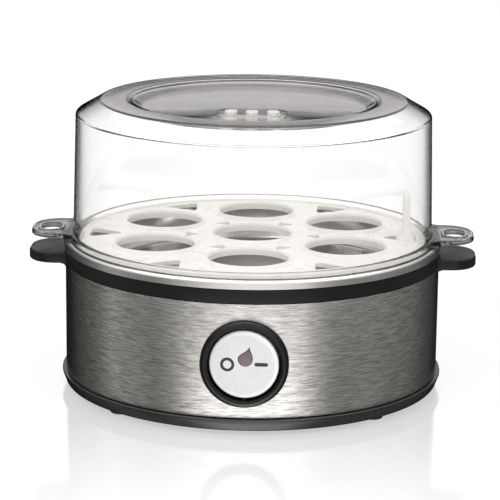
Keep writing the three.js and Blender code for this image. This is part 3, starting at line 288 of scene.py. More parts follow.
# ---- solids
class Solid:
    """Vertices in millimetres and faces of one closed solid."""

    def __init__(self, verts, faces):
        self.verts = verts
        self.faces = faces

    def moved(self, x=0.0, y=0.0, z=0.0):
        return self.through(Matrix.Translation((x, y, z)))

    def turned(self, degrees, axis="Z"):
        return self.through(Matrix.Rotation(radians(degrees), 4, axis))

    def through(self, matrix):
        return Solid([matrix @ v for v in self.verts], self.faces)


def revolve(corners, segments=ROUND):
    """A solid of revolution about +Z from an outline of (radius, height) corners."""
    outline = rounded(corners)
    verts = []
    rings = []
    for point in outline:
        if abs(point.x) < 1e-6:
            rings.append([len(verts)] * segments)
            verts.append(Vector((0, 0, point.y)))
            continue
        rings.append(list(range(len(verts), len(verts) + segments)))
        for i in range(segments):
            angle = 2 * pi * i / segments
            verts.append(Vector((point.x * cos(angle), point.x * sin(angle), point.y)))
    faces = []
    for k, ring in enumerate(rings):
        following = rings[(k + 1) % len(rings)]
        if ring[0] == ring[1] and following[0] == following[1]:
            continue
        for i in range(segments):
            j = (i + 1) % segments
            face = [ring[i], ring[j], following[j], following[i]]
            faces.append(list(dict.fromkeys(face)))
    return Solid(verts, faces)


def cylinder(radius, low, high, segments=TINY_ROUND):
    return revolve([(0, low), (radius, low), (radius, high), (0, high)], segments)


def plate(corners, low, high, edge=0.0, ready=False):
    """A plate between two levels, with both rims rounded by an edge radius."""
    outline = list(corners) if ready else rounded(corners)
    if area(outline) < 0:
        outline.reverse()
    steps = 5 if edge > 0 else 0
    rows = []
    for k in range(steps + 1):
        angle = pi / 2 * (k / steps if steps else 1)
        rows.append((-edge * (1 - sin(angle)), low + edge * (1 - cos(angle))))
    rows += [(inset, low + high - level) for inset, level in reversed(rows)]
    verts = []
    for inset, level in rows:
        ring = grown(outline, inset) if inset else outline
        verts += [Vector((p.x, p.y, level)) for p in ring]
    count = len(outline)
    faces = [list(range(count - 1, -1, -1)), [count * (len(rows) - 1) + i for i in range(count)]]
    for k in range(len(rows) - 1):
        for i in range(count):
            j = (i + 1) % count
            faces.append([count * k + i, count * k + j, count * (k + 1) + j, count * (k + 1) + i])
    return Solid(verts, faces)


def block(width, depth, height):
    return plate(panel(width, depth, 0.0), -height / 2, height / 2)


def at_angle(solid, distance, degrees):
    return solid.moved(x=distance).turned(degrees)


def face_front(solid):
    """Turns a solid's +Z to the front, on the axis of the switch."""
    return solid.turned(90, "X").moved(z=switch_height)


def face_rear(solid):
    """Turns a solid's +Z to the back, on the axis of the mains gland."""
    return solid.turned(-90, "X").moved(z=gland_height)


def add(solid):
    return "UNION", solid


def cut(solid):
    return "DIFFERENCE", solid


def keep(solid):
    return "INTERSECT", solid


def all_round(step, distance, angles, *solids):
    """The same step with each solid at each angle round the axis."""
    return [step(at_angle(solid, distance, angle)) for angle in angles for solid in solids]


def object_of(name, solid):
    mesh = bpy.data.meshes.new(name)
    mesh.from_pydata([v * MM for v in solid.verts], [], solid.faces)
    bm = bmesh.new()
    bm.from_mesh(mesh)
    bmesh.ops.remove_doubles(bm, verts=bm.verts, dist=1e-7)
    bmesh.ops.recalc_face_normals(bm, faces=bm.faces)
    if bm.calc_volume(signed=True) < 0:
        bmesh.ops.reverse_faces(bm, faces=bm.faces)
    bm.to_mesh(mesh)
    bm.free()
    obj = bpy.data.objects.new(name, mesh)
    bpy.context.scene.collection.objects.link(obj)
    return obj


def discard(obj):
    data = obj.data
    bpy.data.objects.remove(obj)
    bpy.data.meshes.remove(data)


def combine(name, solid, *steps):
    """One object from a solid and the steps that add to it, cut it or keep part of it."""
    obj = object_of(name, solid)
    tools = []
    for i, (operation, tool) in enumerate(steps):
        cutter = object_of(f"{name}_tool_{i}", tool)
        tools.append(cutter)
        modifier = obj.modifiers.new(f"step_{i}", "BOOLEAN")
        modifier.operation = operation
        modifier.solver = "MANIFOLD"
        modifier.object = cutter
    depsgraph = bpy.context.evaluated_depsgraph_get()
    mesh = bpy.data.meshes.new_from_object(obj.evaluated_get(depsgraph))
    obj.modifiers.clear()
    obj.data = mesh
    mesh.name = name
    for cutter in tools:
        discard(cutter)
    return obj


def solid_of(obj):
    """Takes an object's mesh back as a solid and removes the object."""
    solid = Solid([v.co / MM for v in obj.data.vertices], [list(p.vertices) for p in obj.data.polygons])
    discard(obj)
    return solid


def made(solid, *steps):
    return solid_of(combine("work", solid, *steps))


def finish_piece(obj, body, slot_name, nodes=(), look=None, sharp=32):
    """Gives a piece its look, which is that of its slot unless it has one of its own."""
    mesh = obj.data
    mesh.shade_smooth()
    mesh.set_sharp_from_angle(angle=radians(sharp))
    mesh.materials.clear()
    mesh.materials.append(LOOKS[look or slot_name])
    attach(obj, body)
    if nodes:
        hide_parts(*nodes)


# ---- materials
WHITE = (1.0, 1.0, 1.0, 1)
LOOKS = {}


def linear(red, green, blue):
    """A display colour from 0 to 255 as a linear shader colour."""
    def channel(value):
        value /= 255
        return value / 12.92 if value <= 0.04045 else ((value + 0.055) / 1.055) ** 2.4
    return (channel(red), channel(green), channel(blue), 1.0)


class Net:
    """Short names for building a node tree."""

    def __init__(self, tree):
        self.tree = tree

    def show(self, shader):
        """Makes a shader the one that the material shows."""
        self.put(self.tree.nodes["Material Output"].inputs["Surface"], shader)

    def put(self, socket, value):
        if isinstance(value, bpy.types.NodeSocket):
            self.tree.links.new(value, socket)
        else:
            socket.default_value = value

    def set(self, node, inputs):
        for key, value in inputs.items():
            self.put(node.inputs[key], value)
        return node

    def node(self, kind, inputs=None, **settings):
        made_node = self.tree.nodes.new("ShaderNode" + kind)
        for key, value in settings.items():
            setattr(made_node, key, value)
        return self.set(made_node, inputs or {})

    def math(self, operation, first, second=0.0):
        return self.node("Math", {0: first, 1: second}, operation=operation).outputs[0]

    def plus(self, first, second):
        return self.math("ADD", first, second)

    def minus(self, first, second):
        return self.math("SUBTRACT", first, second)

    def times(self, first, second):
        return self.math("MULTIPLY", first, second)

    def size(self, value):
        return self.math("ABSOLUTE", value)

    def length(self, first, second):
        return self.math("SQRT", self.plus(self.times(first, first), self.times(second, second)))

    def place(self):
        return self.node("TexCoord").outputs["Object"]

    def axes(self, vector):
        return self.node("SeparateXYZ", {"Vector": vector}).outputs

    def round_drum(self, x, y, along, across):
        """A place that runs round the drum's axis, with its own scale along and across the way round."""
        angle = self.math("ARCTAN2", y, x)
        return self.node("CombineXYZ", {
            "X": self.times(self.math("COSINE", angle), along),
            "Y": self.times(self.math("SINE", angle), along),
            "Z": across,
        }).outputs[0]

    def noise(self, vector, scale, detail=2.0, rough=0.5, distortion=0.0):
        return self.node("TexNoise", {
            "Vector": vector, "Scale": scale, "Detail": detail, "Roughness": rough, "Distortion": distortion,
        }).outputs["Fac"]

    def ranged(self, value, start, end, low=0.0, high=1.0):
        """Low at the start, high at the end, and held beyond them."""
        return self.node("MapRange", {
            "Value": value, "From Min": start, "From Max": end, "To Min": low, "To Max": high,
        }).outputs["Result"]

    def fade(self, value, start, end):
        """0 at the start and 1 at the end, both in millimetres."""
        return self.ranged(value, start * MM, end * MM)

    def mix(self, factor, first, second):
        node = self.node("Mix", data_type="RGBA")
        for key, value in (("Factor_Float", factor), ("A_Color", first), ("B_Color", second)):
            self.put(next(s for s in node.inputs if s.identifier == key), value)
        return next(s for s in node.outputs if s.identifier == "Result_Color")

    def tones(self, factor, colour, spread):
        """A display colour, from a shade darker to a shade lighter."""
        darker, lighter = (
            tuple(min(1.0, c * part) for c in linear(*colour)[:3]) + (1.0,) for part in (1 - spread, 1 + spread))
        return self.mix(factor, darker, lighter)

    def mix_shaders(self, factor, first, second):
        return self.node("MixShader", {0: factor, 1: first, 2: second}).outputs[0]

    def ramp(self, factor, stops, interpolation="LINEAR"):
        """A colour ramp through stops of a position with a grey value or a colour."""
        node = self.node("ValToRGB", {"Fac": factor})
        elements = node.color_ramp.elements
        node.color_ramp.interpolation = interpolation
        elements.remove(elements[-1])
        for index, (position, tone) in enumerate(stops):
            element = elements.new(position) if index else elements[0]
            element.position = position
            element.color = tone if isinstance(tone, tuple) else (tone, tone, tone, 1)
        return node.outputs["Color"]

    def bump(self, height, strength, distance):
        return self.node("Bump", {
            "Height": height, "Strength": strength, "Distance": distance,
        }).outputs["Normal"]


def new_look(name):
    """Keeps a new material in LOOKS and returns its net and its shader."""
    material = bpy.data.materials.new(name)
    material.use_nodes = True
    LOOKS[name] = material
    return Net(material.node_tree), material.node_tree.nodes["Principled BSDF"]


def surface(name, colour, rough, metal=0.0, spread=0.12, rough_spread=0.08, grain=2500.0, depth=0.00002,
            strength=0.35, mottle=90.0, specular=0.5, coat=0.0):
    """A moulded or cast surface: mottled colour, uneven gloss and a fine grain in relief."""
    net, bsdf = new_look(name)
    place = net.place()
    fine = net.noise(place, grain, 2.0, 0.5)
    mixed = net.plus(net.times(net.noise(place, mottle, 3.0, 0.6), 0.7), net.times(fine, 0.3))
    net.set(bsdf, {
        "Base Color": net.tones(net.ranged(mixed, 0.3, 0.7), colour, spread),
        "Roughness": net.ranged(mixed, 0.3, 0.7, rough - rough_spread, rough + rough_spread),
        "Normal": net.bump(fine, strength, depth),
        "Metallic": metal,
        "Specular IOR Level": specular,
        "Coat Weight": coat,
        "Coat Roughness": 0.05,
    })
    return net, bsdf


def brushed_steel():
    """Steel brushed round the drum: streaks run along the circumference."""
    net, bsdf = new_look("brushed_steel")
    x, y, z = net.axes(net.place())
    streaks = ((9.0, 3000.0, 3.0, 0.3), (13.0, 1900.0, 2.0, 0.45), (17.0, 1500.0, 2.0, 0.25))
    mixed = 0.0
    for along, across, detail, share in streaks:
        spot = net.round_drum(x, y, along, net.times(z, across))
        mixed = net.plus(mixed, net.times(net.noise(spot, 1.0, detail, 0.65), share))
    net.set(bsdf, {
        "Base Color": net.tones(net.ranged(mixed, 0.41, 0.59), (205, 202, 197), 0.36),
        "Roughness": net.ranged(mixed, 0.3, 0.7, 0.35, 0.21),
        "Normal": net.bump(mixed, 0.4, 0.00002),
        "Tangent": net.node("Tangent", direction_type="RADIAL", axis="Z").outputs[0],
        "Metallic": 1.0,
        "Anisotropic": 0.85,
        "Anisotropic Rotation": 0.25,
    })


def from_switch(net):
    """Distance from the axis of the switch."""
    x, _, z = net.axes(net.place())
    return net.length(x, net.minus(z, switch_height * MM))


def gloss_black():
    """Gloss black moulding: its rounded rim is polished, its outer wall is left matt."""
    net, bsdf = surface("gloss_black", (9, 9, 10), 0.12, rough_spread=0.03, grain=900.0, depth=0.00001,
                        strength=0.2)
    across = net.fade(from_switch(net), bezel_radius - 4.0, bezel_radius)
    net.set(bsdf, {"Specular IOR Level": net.ramp(across, [(0.4, 0.2), (0.62, 0.5), (0.93, 0.5), (0.98, 0.03)])})


def button_white():
    """White moulding, with a painted highlight: a lighter colour on its rim."""
    net, bsdf = surface("button_white", (225, 225, 224), 0.28, spread=0.012, grain=1800.0, strength=0.12)
    face = bsdf.inputs["Base Color"].links[0].from_socket
    # Painted highlight: the rim is coloured a shade lighter than the face
    rim = net.fade(from_switch(net), button_radius - 2.2, button_radius - 1.2)
    net.set(bsdf, {"Base Color": net.mix(rim, face, linear(250, 250, 249))})


def clear_plastic():
    """Clear moulded styrene: thin walls pass light, and painted shade greys its steep edges, its land and recess,
    its ears and its vent pad.
    """
    net, bsdf = new_look("clear_plastic")
    place = net.place()
    x, y, z = net.axes(place)
    radius = net.length(x, y)
    sideways = net.size(x)
    top = net.fade(z, lid_top - 7.0, lid_top - 6.5)

    # The outside of the wall and the top, with painted shade: darker where the surface is seen at a low angle;
    # the ramp named depth holds this painted shade
    facing = net.node("LayerWeight", {"Blend": 0.5}).outputs["Facing"]
    stops = ((0.66, 0.96), (0.69, 0.82), (0.723, 0.55), (0.767, 0.25), (0.82, 0.05))
    depth = net.ramp(facing, [(0.6, (1.0, 1.0, 0.995, 1))] + [
        (position, (tone, tone * 0.985, tone * 0.98, 1)) for position, tone in stops] + [(0.88, 0.01)])
    upright = net.plus(radius, net.times(net.minus(z, lid_seat * MM), lid_lean))
    outer = net.math("MAXIMUM", top, net.fade(upright, lid_base_radius - 1.2, lid_base_radius - 0.8))
    tone = net.mix(outer, WHITE, depth)

    # Painted shade on the flat land round the recess and on the recess floor, with the lip round the mouth left
    # clear; towards the front the floor's painted shade is lighter and streaked by faint moulding swirls
    swirl = net.noise(net.round_drum(x, y, 5.0, net.times(radius, 240.0)), 1.0, 3.0, 0.6, 1.2)
    border = net.times(net.fade(radius, 22.0, 34.0), net.fade(y, 0.0, -14.0))
    inner = net.times(border, net.fade(radius, recess_mouth, recess_mouth - 0.8))
    swirled_shade = net.mix(net.ranged(swirl, 0.28, 0.66), (0.56, 0.54, 0.54, 1), (0.84, 0.83, 0.82, 1))
    lip = net.fade(net.size(net.minus(radius, (recess_mouth + 1.1) * MM)), 1.2, 1.6)
    land = net.times(net.fade(radius, lid_top_radius, lid_top_radius - 0.6), net.times(lip, top))
    tone = net.mix(land, tone, net.mix(inner, (0.46, 0.435, 0.43, 1), swirled_shade))

    # Painted shade on the ears, darkest at their roots and along their edges
    wing = net.times(net.fade(sideways, lid_base_radius - 4, lid_base_radius - 2),
                     net.fade(z, flange_top + 1.5, flange_top + 0.5))
    root = net.fade(sideways, lid_flange_radius + 4, lid_flange_radius + 1)
    _, _, normal_z = net.axes(net.node("NewGeometry").outputs["Normal"])
    steep = net.ranged(net.size(normal_z), 0.8, 0.35)
    ear_shade = net.mix(net.math("MAXIMUM", root, steep), (0.4, 0.385, 0.38, 1), (0.03, 0.028, 0.028, 1))
    tone = net.mix(net.times(wing, 0.8), tone, ear_shade)

    # Painted shade on the slope of the recess, dark at the back and light at the front
    slope = net.times(net.times(net.fade(radius, recess_mouth + 0.2, recess_mouth - 0.6),
                                net.fade(radius, recess_radius - 0.2, recess_radius + 0.8)), top)
    slope_shade = net.mix(net.fade(y, -28.0, -8.0), (0.96, 0.94, 0.92, 1), (0.12, 0.112, 0.115, 1))
    tone = net.mix(net.times(slope, 0.85), tone, slope_shade)

    # The vent pad, with painted shade on its face, lighter along its front edge than on its top, and left clear
    # round its three frosted vents
    back = net.plus(y, pad_offset * MM)
    pad_end = vent_pitch + vent_radius + 3.6
    on_pad = net.times(top, net.times(net.fade(net.size(back), pad_depth / 2 + 0.6, pad_depth / 2),
                                      net.fade(sideways, pad_end + 0.6, pad_end)))
    straight = (vent_length / 2 - vent_radius) * MM
    beyond = net.math("MAXIMUM", net.minus(net.size(net.plus(y, vent_offset * MM)), straight), 0.0)
    near = None
    for i in (-1, 0, 1):
        away = net.length(net.minus(x, i * vent_pitch * MM), beyond)
        near = away if near is None else net.math("MINIMUM", near, away)
    pad_face_shade = net.mix(net.fade(back, -6.0, -5.0), (0.75, 0.72, 0.71, 1), (0.34, 0.32, 0.315, 1))
    pad_shade = net.mix(net.fade(near, vent_radius + 0.4, vent_radius + 0.1), pad_face_shade, WHITE)
    flow = net.plus(net.noise(place, 26.0, 2.0, 0.5, 0.6), net.times(net.times(inner, 0.1), swirl))
    net.set(bsdf, {
        "Base Color": net.mix(on_pad, tone, pad_shade),
        "Roughness": net.ranged(flow, 0.3, 0.7, 0.008, 0.03),
        "Normal": net.bump(flow, 0.12, 0.0004),
        "Transmission Weight": 1.0,
        "IOR": 1.49,
    })
    frost = net.node("BsdfDiffuse", {"Color": (0.95, 0.95, 0.94, 1)}).outputs[0]
    within = net.fade(near, vent_radius + 0.2, vent_radius + 0.03)
    walled = net.mix_shaders(net.times(within, 0.95), bsdf.outputs[0], frost)
    see_through = net.node("BsdfTransparent", {"Color": (0.96, 0.96, 0.96, 1)}).outputs[0]
    shadow_ray = net.node("LightPath").outputs["Is Shadow Ray"]
    net.show(net.mix_shaders(shadow_ray, walled, see_through))


surface("black_plastic", (26, 25, 25), 0.3, grain=1700.0, depth=0.00003, strength=0.5, specular=0.2)
surface("base_plastic", (26, 25, 25), 0.26, grain=1700.0, depth=0.00003, strength=0.4, specular=0.8)
gloss_black()
surface("white_plastic", (247, 244, 239), 0.3, spread=0.02, grain=1500.0, strength=0.2)
button_white()
clear_plastic()
brushed_steel()
surface("polished_steel", (226, 223, 219), 0.22, 1.0, spread=0.05, rough_spread=0.05, grain=700.0, mottle=120.0,
        strength=0.15)
surface("zinc_steel", (172, 174, 176), 0.34, 1.0, mottle=400.0)
surface("cast_aluminium", (176, 178, 180), 0.5, 1.0, grain=1200.0, strength=0.6, depth=0.00008)
surface("brass", (196, 160, 92), 0.3, 1.0, mottle=300.0)
surface("rubber", (26, 26, 26), 0.7, grain=1400.0, strength=0.6, depth=0.00004)
surface("silicone", (190, 187, 182), 0.5, spread=0.05, mottle=200.0)
surface("ceramic", (226, 220, 208), 0.6, spread=0.05, grain=1600.0, strength=0.5)
surface("lamp_lens", (108, 92, 96), 0.16, spread=0.1, grain=1300.0, strength=0.1, coat=0.6)
surface("lamp_glass", (206, 176, 150), 0.1, spread=0.08, coat=0.6)
surface("red_wire", (150, 44, 34), 0.42)
surface("blue_wire", (48, 52, 132), 0.42)
surface("brown_wire", (104, 66, 36), 0.42)
surface("ink", (46, 43, 44), 0.4, spread=0.1, grain=2000.0, strength=0.2)

# ---- base, feet and screws
SWITCH_WINDOW = face_front(cylinder(barrel_radius + FIT, barrel_back - 17.5, bezel_front, SMALL_ROUND))
CORD_HOLE = face_rear(cylinder(gland_neck + FIT, body_inner - 23.9, bezel_front, SMALL_ROUND))


def build_base():
    spigot = body_inner - FIT
    shell = revolve([
        (0, base_low + base_panel_depth), (base_panel_radius, base_low + base_panel_depth, 0.4),
        (base_panel_radius + base_panel_depth, base_low, 0.4), (base_low_radius, base_low, 1.0),
        (base_radius - base_step, base_top - base_lip - 0.7, 0.8),
        (base_radius - base_step, base_top - base_lip, 0.2),
        (base_radius, base_top - base_lip + 0.3, 0.25), (base_radius, base_top, 0.35),
        (spigot, base_top), (spigot, spigot_top, 0.3), (spigot - 1.8, spigot_top, 0.3),
        (spigot - 1.8, base_floor, 0.5), (0, base_floor),
    ])
    head_seat = base_low + 1 + head_height + FIT
    steps = all_round(add, screw_circle, screw_angles, cylinder(post_radius, base_floor - SUNK, post_top))
    steps += all_round(cut, screw_circle, screw_angles, cylinder(screw_head + FIT, 0, head_seat),
                       cylinder(screw_radius + FIT, 0, post_top + PAST))
    steps += all_round(cut, foot_circle, foot_angles, cylinder(foot_radius + FIT, 0, base_low + 1, SMALL_ROUND))
    slot = plate(panel(16, 2.4, 1.08), 0, base_floor + PAST)
    steps += all_round(cut, slot_circle, [45 * (i + 0.5) for i in range(8)], slot)
    finish_piece(combine("base_moulding", shell, *steps), "base", "black_plastic", ["base_shell"], "base_plastic")

    foot_top = FOOT_HIGH.z
    pad = revolve([
        (0, 0.25), (foot_radius - 1.7, 0.25, 0.2), (foot_radius - 1.3, 0, 0.2), (foot_radius, 0, 1.0),
        (foot_radius, foot_top, 0.2), (0, foot_top),
    ], SMALL_ROUND)
    for i, angle in enumerate(foot_angles):
        finish_piece(combine(f"foot_pad_{i + 1}", at_angle(pad, foot_circle, angle)), "base", "rubber",
                     [f"foot_{i + 1}"])

    head = revolve([
        (0, 0), (1.8, 0.1, 1.0), (screw_head, 0.95, 0.3), (screw_head, head_height),
        (screw_radius, head_height), (screw_radius, head_height + 10.5), (0, head_height + 12),
    ], TINY_ROUND)
    cross = [cut(block(3.2, 0.7, 2.4).turned(turn)) for turn in (25, 115)]
    threads = [add(revolve([(1.2, level), (1.74, level + 0.35), (1.2, level + 0.7)], TINY_ROUND))
               for level in [3.2 + 1.05 * k for k in range(8)]]
    screw = made(head, *cross, *threads).moved(z=SCREW_LOW.z)
    for i, angle in enumerate(screw_angles):
        finish_piece(combine(f"cross_screw_{i + 1}", at_angle(screw, screw_circle, angle)), "base", "zinc_steel",
                     [f"base_screw_{i + 1}"])


# ---- drum with its handles
def handle():
    """The right-hand handle: a hollowed slab with a web that follows the drum."""
    top = handle_top
    low = top - handle_height
    root = band_radius + 0.04
    reach = 1.4
    fillet = 2.0
    corner = 12.0
    length = handle_reach - band_radius

    def plan(inset, start):
        side = handle_half_width - inset
        end = handle_reach - inset
        return [(start, -side), (end, -side, corner - inset), (end, side, corner - inset), (start, side)]

    slab = plate(plan(0, body_radius - PAST), low, top, 1.1)
    web_ring = revolve([
        (root, low + 1), (root, low - fillet), (root + 0.1, low - fillet), (root + 0.1, low, fillet - 0.05),
        (root + fillet + 0.2, low), (root + fillet + 0.2, low + 1),
    ])
    web = made(plate(plan(0.02, 60), low - 2 * fillet, top), keep(web_ring))
    inside = cylinder(root, low - 3 * fillet, ring_low, ROUND)
    core = cylinder(body_radius - 0.4, low - 3 * fillet, top + PAST, ROUND)
    start = root + reach
    pocket = made(
        plate(plan(2.2, start), low - PAST, low + 2.4, 0.5),
        cut(block(2 * length, 1.8, handle_height).moved(start, 0, low + handle_height / 2)))
    return made(slab, add(web), cut(inside), cut(core), cut(pocket))


def build_body():
    tube = revolve([
        (body_inner, band_low), (body_radius, band_low), (body_radius, ring_low),
        (ring_radius, ring_low, SOFT), (ring_radius, ring_top, SOFT), (body_radius, ring_top),
        (body_radius, collar_top, 0.3), (body_inner, collar_top, 0.3),
    ])
    lug_inner = stud_circle - stud_radius - FIT - 1
    lug_reach = body_inner + 1.1 - lug_inner
    lug = block(lug_reach, 9, lug_wall).moved(lug_reach / 2, 0, (lug_top + lug_low) / 2)
    web_low = spigot_top + FIT
    web_reach = body_inner + 1.1 - screw_circle
    web = block(web_reach, 2, boss_top - web_low).moved(web_reach / 2, 0, (boss_top + web_low) / 2)
    right = handle()
    steps = all_round(add, lug_inner, lug_angles, lug)
    steps += all_round(add, screw_circle, screw_angles, cylinder(boss_radius, boss_low, boss_top), web)
    steps += [add(right), add(right.turned(180))]
    steps += all_round(cut, stud_circle, lug_angles, cylinder(stud_radius + FIT, lug_low - PAST, lug_top + PAST))
    steps += all_round(cut, screw_circle, screw_angles,
                       cylinder(screw_radius + FIT, boss_low - PAST, boss_low + 12))
    steps += [cut(SWITCH_WINDOW), cut(CORD_HOLE)]
    finish_piece(combine("drum_moulding", tube, *steps), "base", "black_plastic", ["body_shell"])


def build_band():
    sheet = revolve([
        (band_radius - band_wall, band_low, 0.08), (band_radius, band_low, 0.28),
        (band_radius, band_top, 0.28), (band_radius - band_wall, band_top, 0.08),
    ], 2 * ROUND)
    seam = block(0.8, 6, 2 * (band_top - band_low)).moved(0, band_radius, (band_low + band_top) / 2)
    band = combine("steel_wrap", sheet, cut(SWITCH_WINDOW), cut(CORD_HOLE), cut(seam))
    finish_piece(band, "base", "brushed_steel", ["steel_band"])


# ---- pan
def build_pan():
    face = [
        (0, pan_floor), (ledge_inner - 5.5, pan_floor, 2.8), (ledge_inner, ledge_top, 1.0),
        (pan_step_radius, ledge_top, 0.35), (pan_step_radius, pan_top, 1.0),
        (pan_rim_radius - 0.6, pan_top, 2.0), (pan_rim_radius, skirt_low + 0.8, 2.5),
        (pan_rim_radius, skirt_low),
    ]
    sheet = revolve(face + offset_path(face, pan_wall)[::-1])
    stud = cylinder(stud_radius, lug_low - FIT - nut_height - stud_end, ledge_top - pan_wall / 2)
    steps = all_round(add, stud_circle, lug_angles, stud)
    steps.append(add(cylinder(2.5, PAN_LOW.z, pan_floor - pan_wall / 2)))
    finish_piece(combine("pan_pressing", sheet, *steps), "base", "polished_steel", ["heating_pan"], sharp=40)


# ---- switch
def build_switch():
    flange = face_front(revolve([
        (bezel_bore, band_radius - 6), (bezel_radius, band_radius - 6),
        (bezel_radius, bezel_front - 1.0, 0.3), (bezel_radius - 0.5, bezel_front - 0.6, 0.3),
        (bezel_radius - 1.6, bezel_front, 1.2), (bezel_bore + 0.3, bezel_front, 0.5),
        (bezel_bore, bezel_front - 1.0, 0.4),
    ], SMALL_ROUND * 2))
    saddle = cylinder(band_radius + FIT, 0, ring_top, ROUND)
    barrel = face_front(revolve([
        (bezel_bore, barrel_back), (barrel_radius, barrel_back),
        (barrel_radius, bezel_front - 1.7), (bezel_bore, bezel_front - 1.7),
    ], SMALL_ROUND * 2))
    hook_root = (bezel_bore + barrel_radius) / 2
    hook_top = sqrt(body_inner ** 2 - (barrel_radius + 1.3) ** 2) - 2 * FIT
    hook = plate([
        (hook_root, barrel_back), (barrel_radius, barrel_back), (barrel_radius + 1.3, hook_top - 0.65),
        (barrel_radius + 1.3, hook_top), (hook_root, hook_top),
    ], -4, 4).turned(90, "X")
    reach = (barrel_radius + bezel_radius) / 2
    pivots = cylinder(1.8, switch_height - reach, switch_height + reach).moved(0, -pivot_distance)
    bezel = combine(
        "bezel_moulding", flange, cut(saddle), add(barrel),
        add(face_front(hook)), add(face_front(hook.turned(180))), cut(pivots))
    finish_piece(bezel, "base", "gloss_black", ["switch_bezel"])

    inside = button_front - 2.2
    stem_back = pivot_distance - 11
    bore_top = inside - 1.4
    edge = dome_level(button_radius)
    crown = [(r, dome_level(r)) for r in (0, 3, 6, 9, 11.5)]
    cap = revolve(crown + [
        (button_radius - 1.7, dome_level(button_radius - 1.7), 0.25), (button_radius - 1.35, edge - 0.1, 0.2),
        (button_radius - 0.7, edge - 0.1, 0.35), (button_radius, edge - 0.6, 0.5),
        (button_radius, button_front - 10),
        (button_radius - 1.6, button_front - 10), (button_radius - 1.6, inside), (3.2, inside),
        (3.2, stem_back), (1.9, stem_back), (1.9, bore_top), (0, bore_top),
    ], SMALL_ROUND * 2)
    hole = plate(drop_outline(FIT), inside - FIT, button_front + PAST, ready=True)
    button = combine("button_cap", face_front(cap), cut(face_front(hole)))
    finish_piece(leaned(button), "rocker", "white_plastic", ["rocker_button"], "button_white")
    # Painted shade: the pins are coloured dark so that they read as the shade in the gap round the button
    pin = cylinder(1.5, button_radius - 0.8, barrel_radius - FIT)
    for label, roll in (("upper", 0), ("lower", 180)):
        stub = pin.turned(roll, "X").moved(0, -pivot_distance, switch_height)
        finish_piece(leaned(object_of(f"pivot_pin_{label}", stub)), "rocker", "gloss_black", look="ink")

    lens = plate(drop_outline(0.08), inside, button_front - 0.02, 0.3, ready=True)
    finish_piece(leaned(combine("pilot_lens", face_front(lens))), "rocker", "lamp_lens", ["indicator_lens"])

    # The printed marks: a ring for off and a bar with round ends for on
    ring = [Vector((cos(a), sin(a))) for a in (2 * pi * i / 48 for i in range(48))]
    off_mark = printed([(p * 3.05, p * 1.8) for p in ring], -6.95, 0.0, closed=True)
    steps = 24
    bar_half, end_radius = 2.9, 0.8
    bar = []
    for i in range(steps + 1):
        along = -bar_half * cos(pi * i / steps)
        half = max(end_radius * sqrt(1 - max(0.0, (abs(along) - 2.1) / end_radius) ** 2), 0.05)
        bar.append((Vector((along, half)), Vector((along, -half))))
    for name, mark in (("mark_off", off_mark), ("mark_on", printed(bar, 7.5, 0.45, closed=False))):
        finish_piece(leaned(combine(name, mark)), "rocker", "gloss_black", look="ink")


def dome_level(radius):
    """Distance of the button's face from the axis of the drum, at a radius from its middle."""
    return button_front - button_dome * (radius / button_radius) ** 2


def leaned(obj):
    """Leans a piece of the rocker about the pivot's axis, to where it rests."""
    pivot = Matrix.Translation((0, -pivot_distance * MM, 0))
    obj.data.transform(pivot @ Matrix.Rotation(radians(-rocker_tilt), 4, "Z") @ pivot.inverted())
    return obj


def printed(pairs, x, y, closed):
    """A printed mark: a thin layer that follows the button's face, from pairs of outer and inner points."""
    verts = []
    for outer, inner in pairs:
        for point in (outer, inner):
            px, py = point.x + x, point.y + y
            level = dome_level(hypot(px, py))
            verts += [Vector((px, py, level - 0.2)), Vector((px, py, level + 0.012))]
    faces = []
    count = len(pairs)
    for i in range(count if closed else count - 1):
        a = 4 * i
        b = 4 * ((i + 1) % count)
        faces += [[a + c, b + c, b + d, a + d] for c, d in ((1, 3), (2, 0), (0, 1), (3, 2))]
    if not closed:
        last = 4 * (count - 1)
        faces += [[0, 1, 3, 2], [last + 2, last + 3, last + 1, last]]
    return face_front(Solid(verts, faces))


def bezier(start, first, second, end, steps=18):
    points = []
    for i in range(1, steps + 1):
        t = i / steps
        u = 1 - t
        points.append(Vector([u ** 3 * a + 3 * u * u * t * b + 3 * u * t * t * c + t ** 3 * d
                              for a, b, c, d in zip(start, first, second, end)]))
    return points


def drop_outline(grow):
    """Outline of the drop-shaped lens, with its tip leaning to the right."""
    side = 2.9 + grow
    middle = 2.6
    shoulder = middle + 2.3 + grow
    tip = (1.6 + grow * 0.6, 7.3 + grow * 3)
    points = bezier(tip, (1.19 - grow, shoulder), (-side, shoulder), (-side, middle))
    for i in range(1, 29):
        angle = pi + pi * i / 28
        points.append(Vector((side * cos(angle), middle + side * sin(angle))))
    points += bezier((side, middle), (side, shoulder), (1.87 + grow, shoulder), tip)
    return [point + Vector((0.7, 0)) for point in points]


# ---- mains gland
def build_gland():
    outer = GLAND_HIGH.y
    seat = body_inner - 2 * FIT
    flange = 7.0
    face = band_radius + 0.3
    back = GLAND_LOW.y
    bush = revolve([
        (gland_bore, back, 0.2), (4.6, back, 0.3), (6.1, back + 1.8, 0.2), (6.1, seat),
        (gland_neck, seat), (gland_neck, face), (flange, face, 0.2), (flange, face + 1.1, 0.5),
        (gland_neck, outer, 0.5), (gland_bore, outer, 0.4),
    ], SMALL_ROUND)
    finish_piece(combine("gland_bush", face_rear(bush)), "base", "rubber", ["cord_gland"])


# ---- egg tray
def drain(apex, base, half_width, corner):
    """Corners of a three-cornered drain hole that points to the middle."""
    return [(apex, 0, corner), (base, -half_width, corner), (base, half_width, corner)]


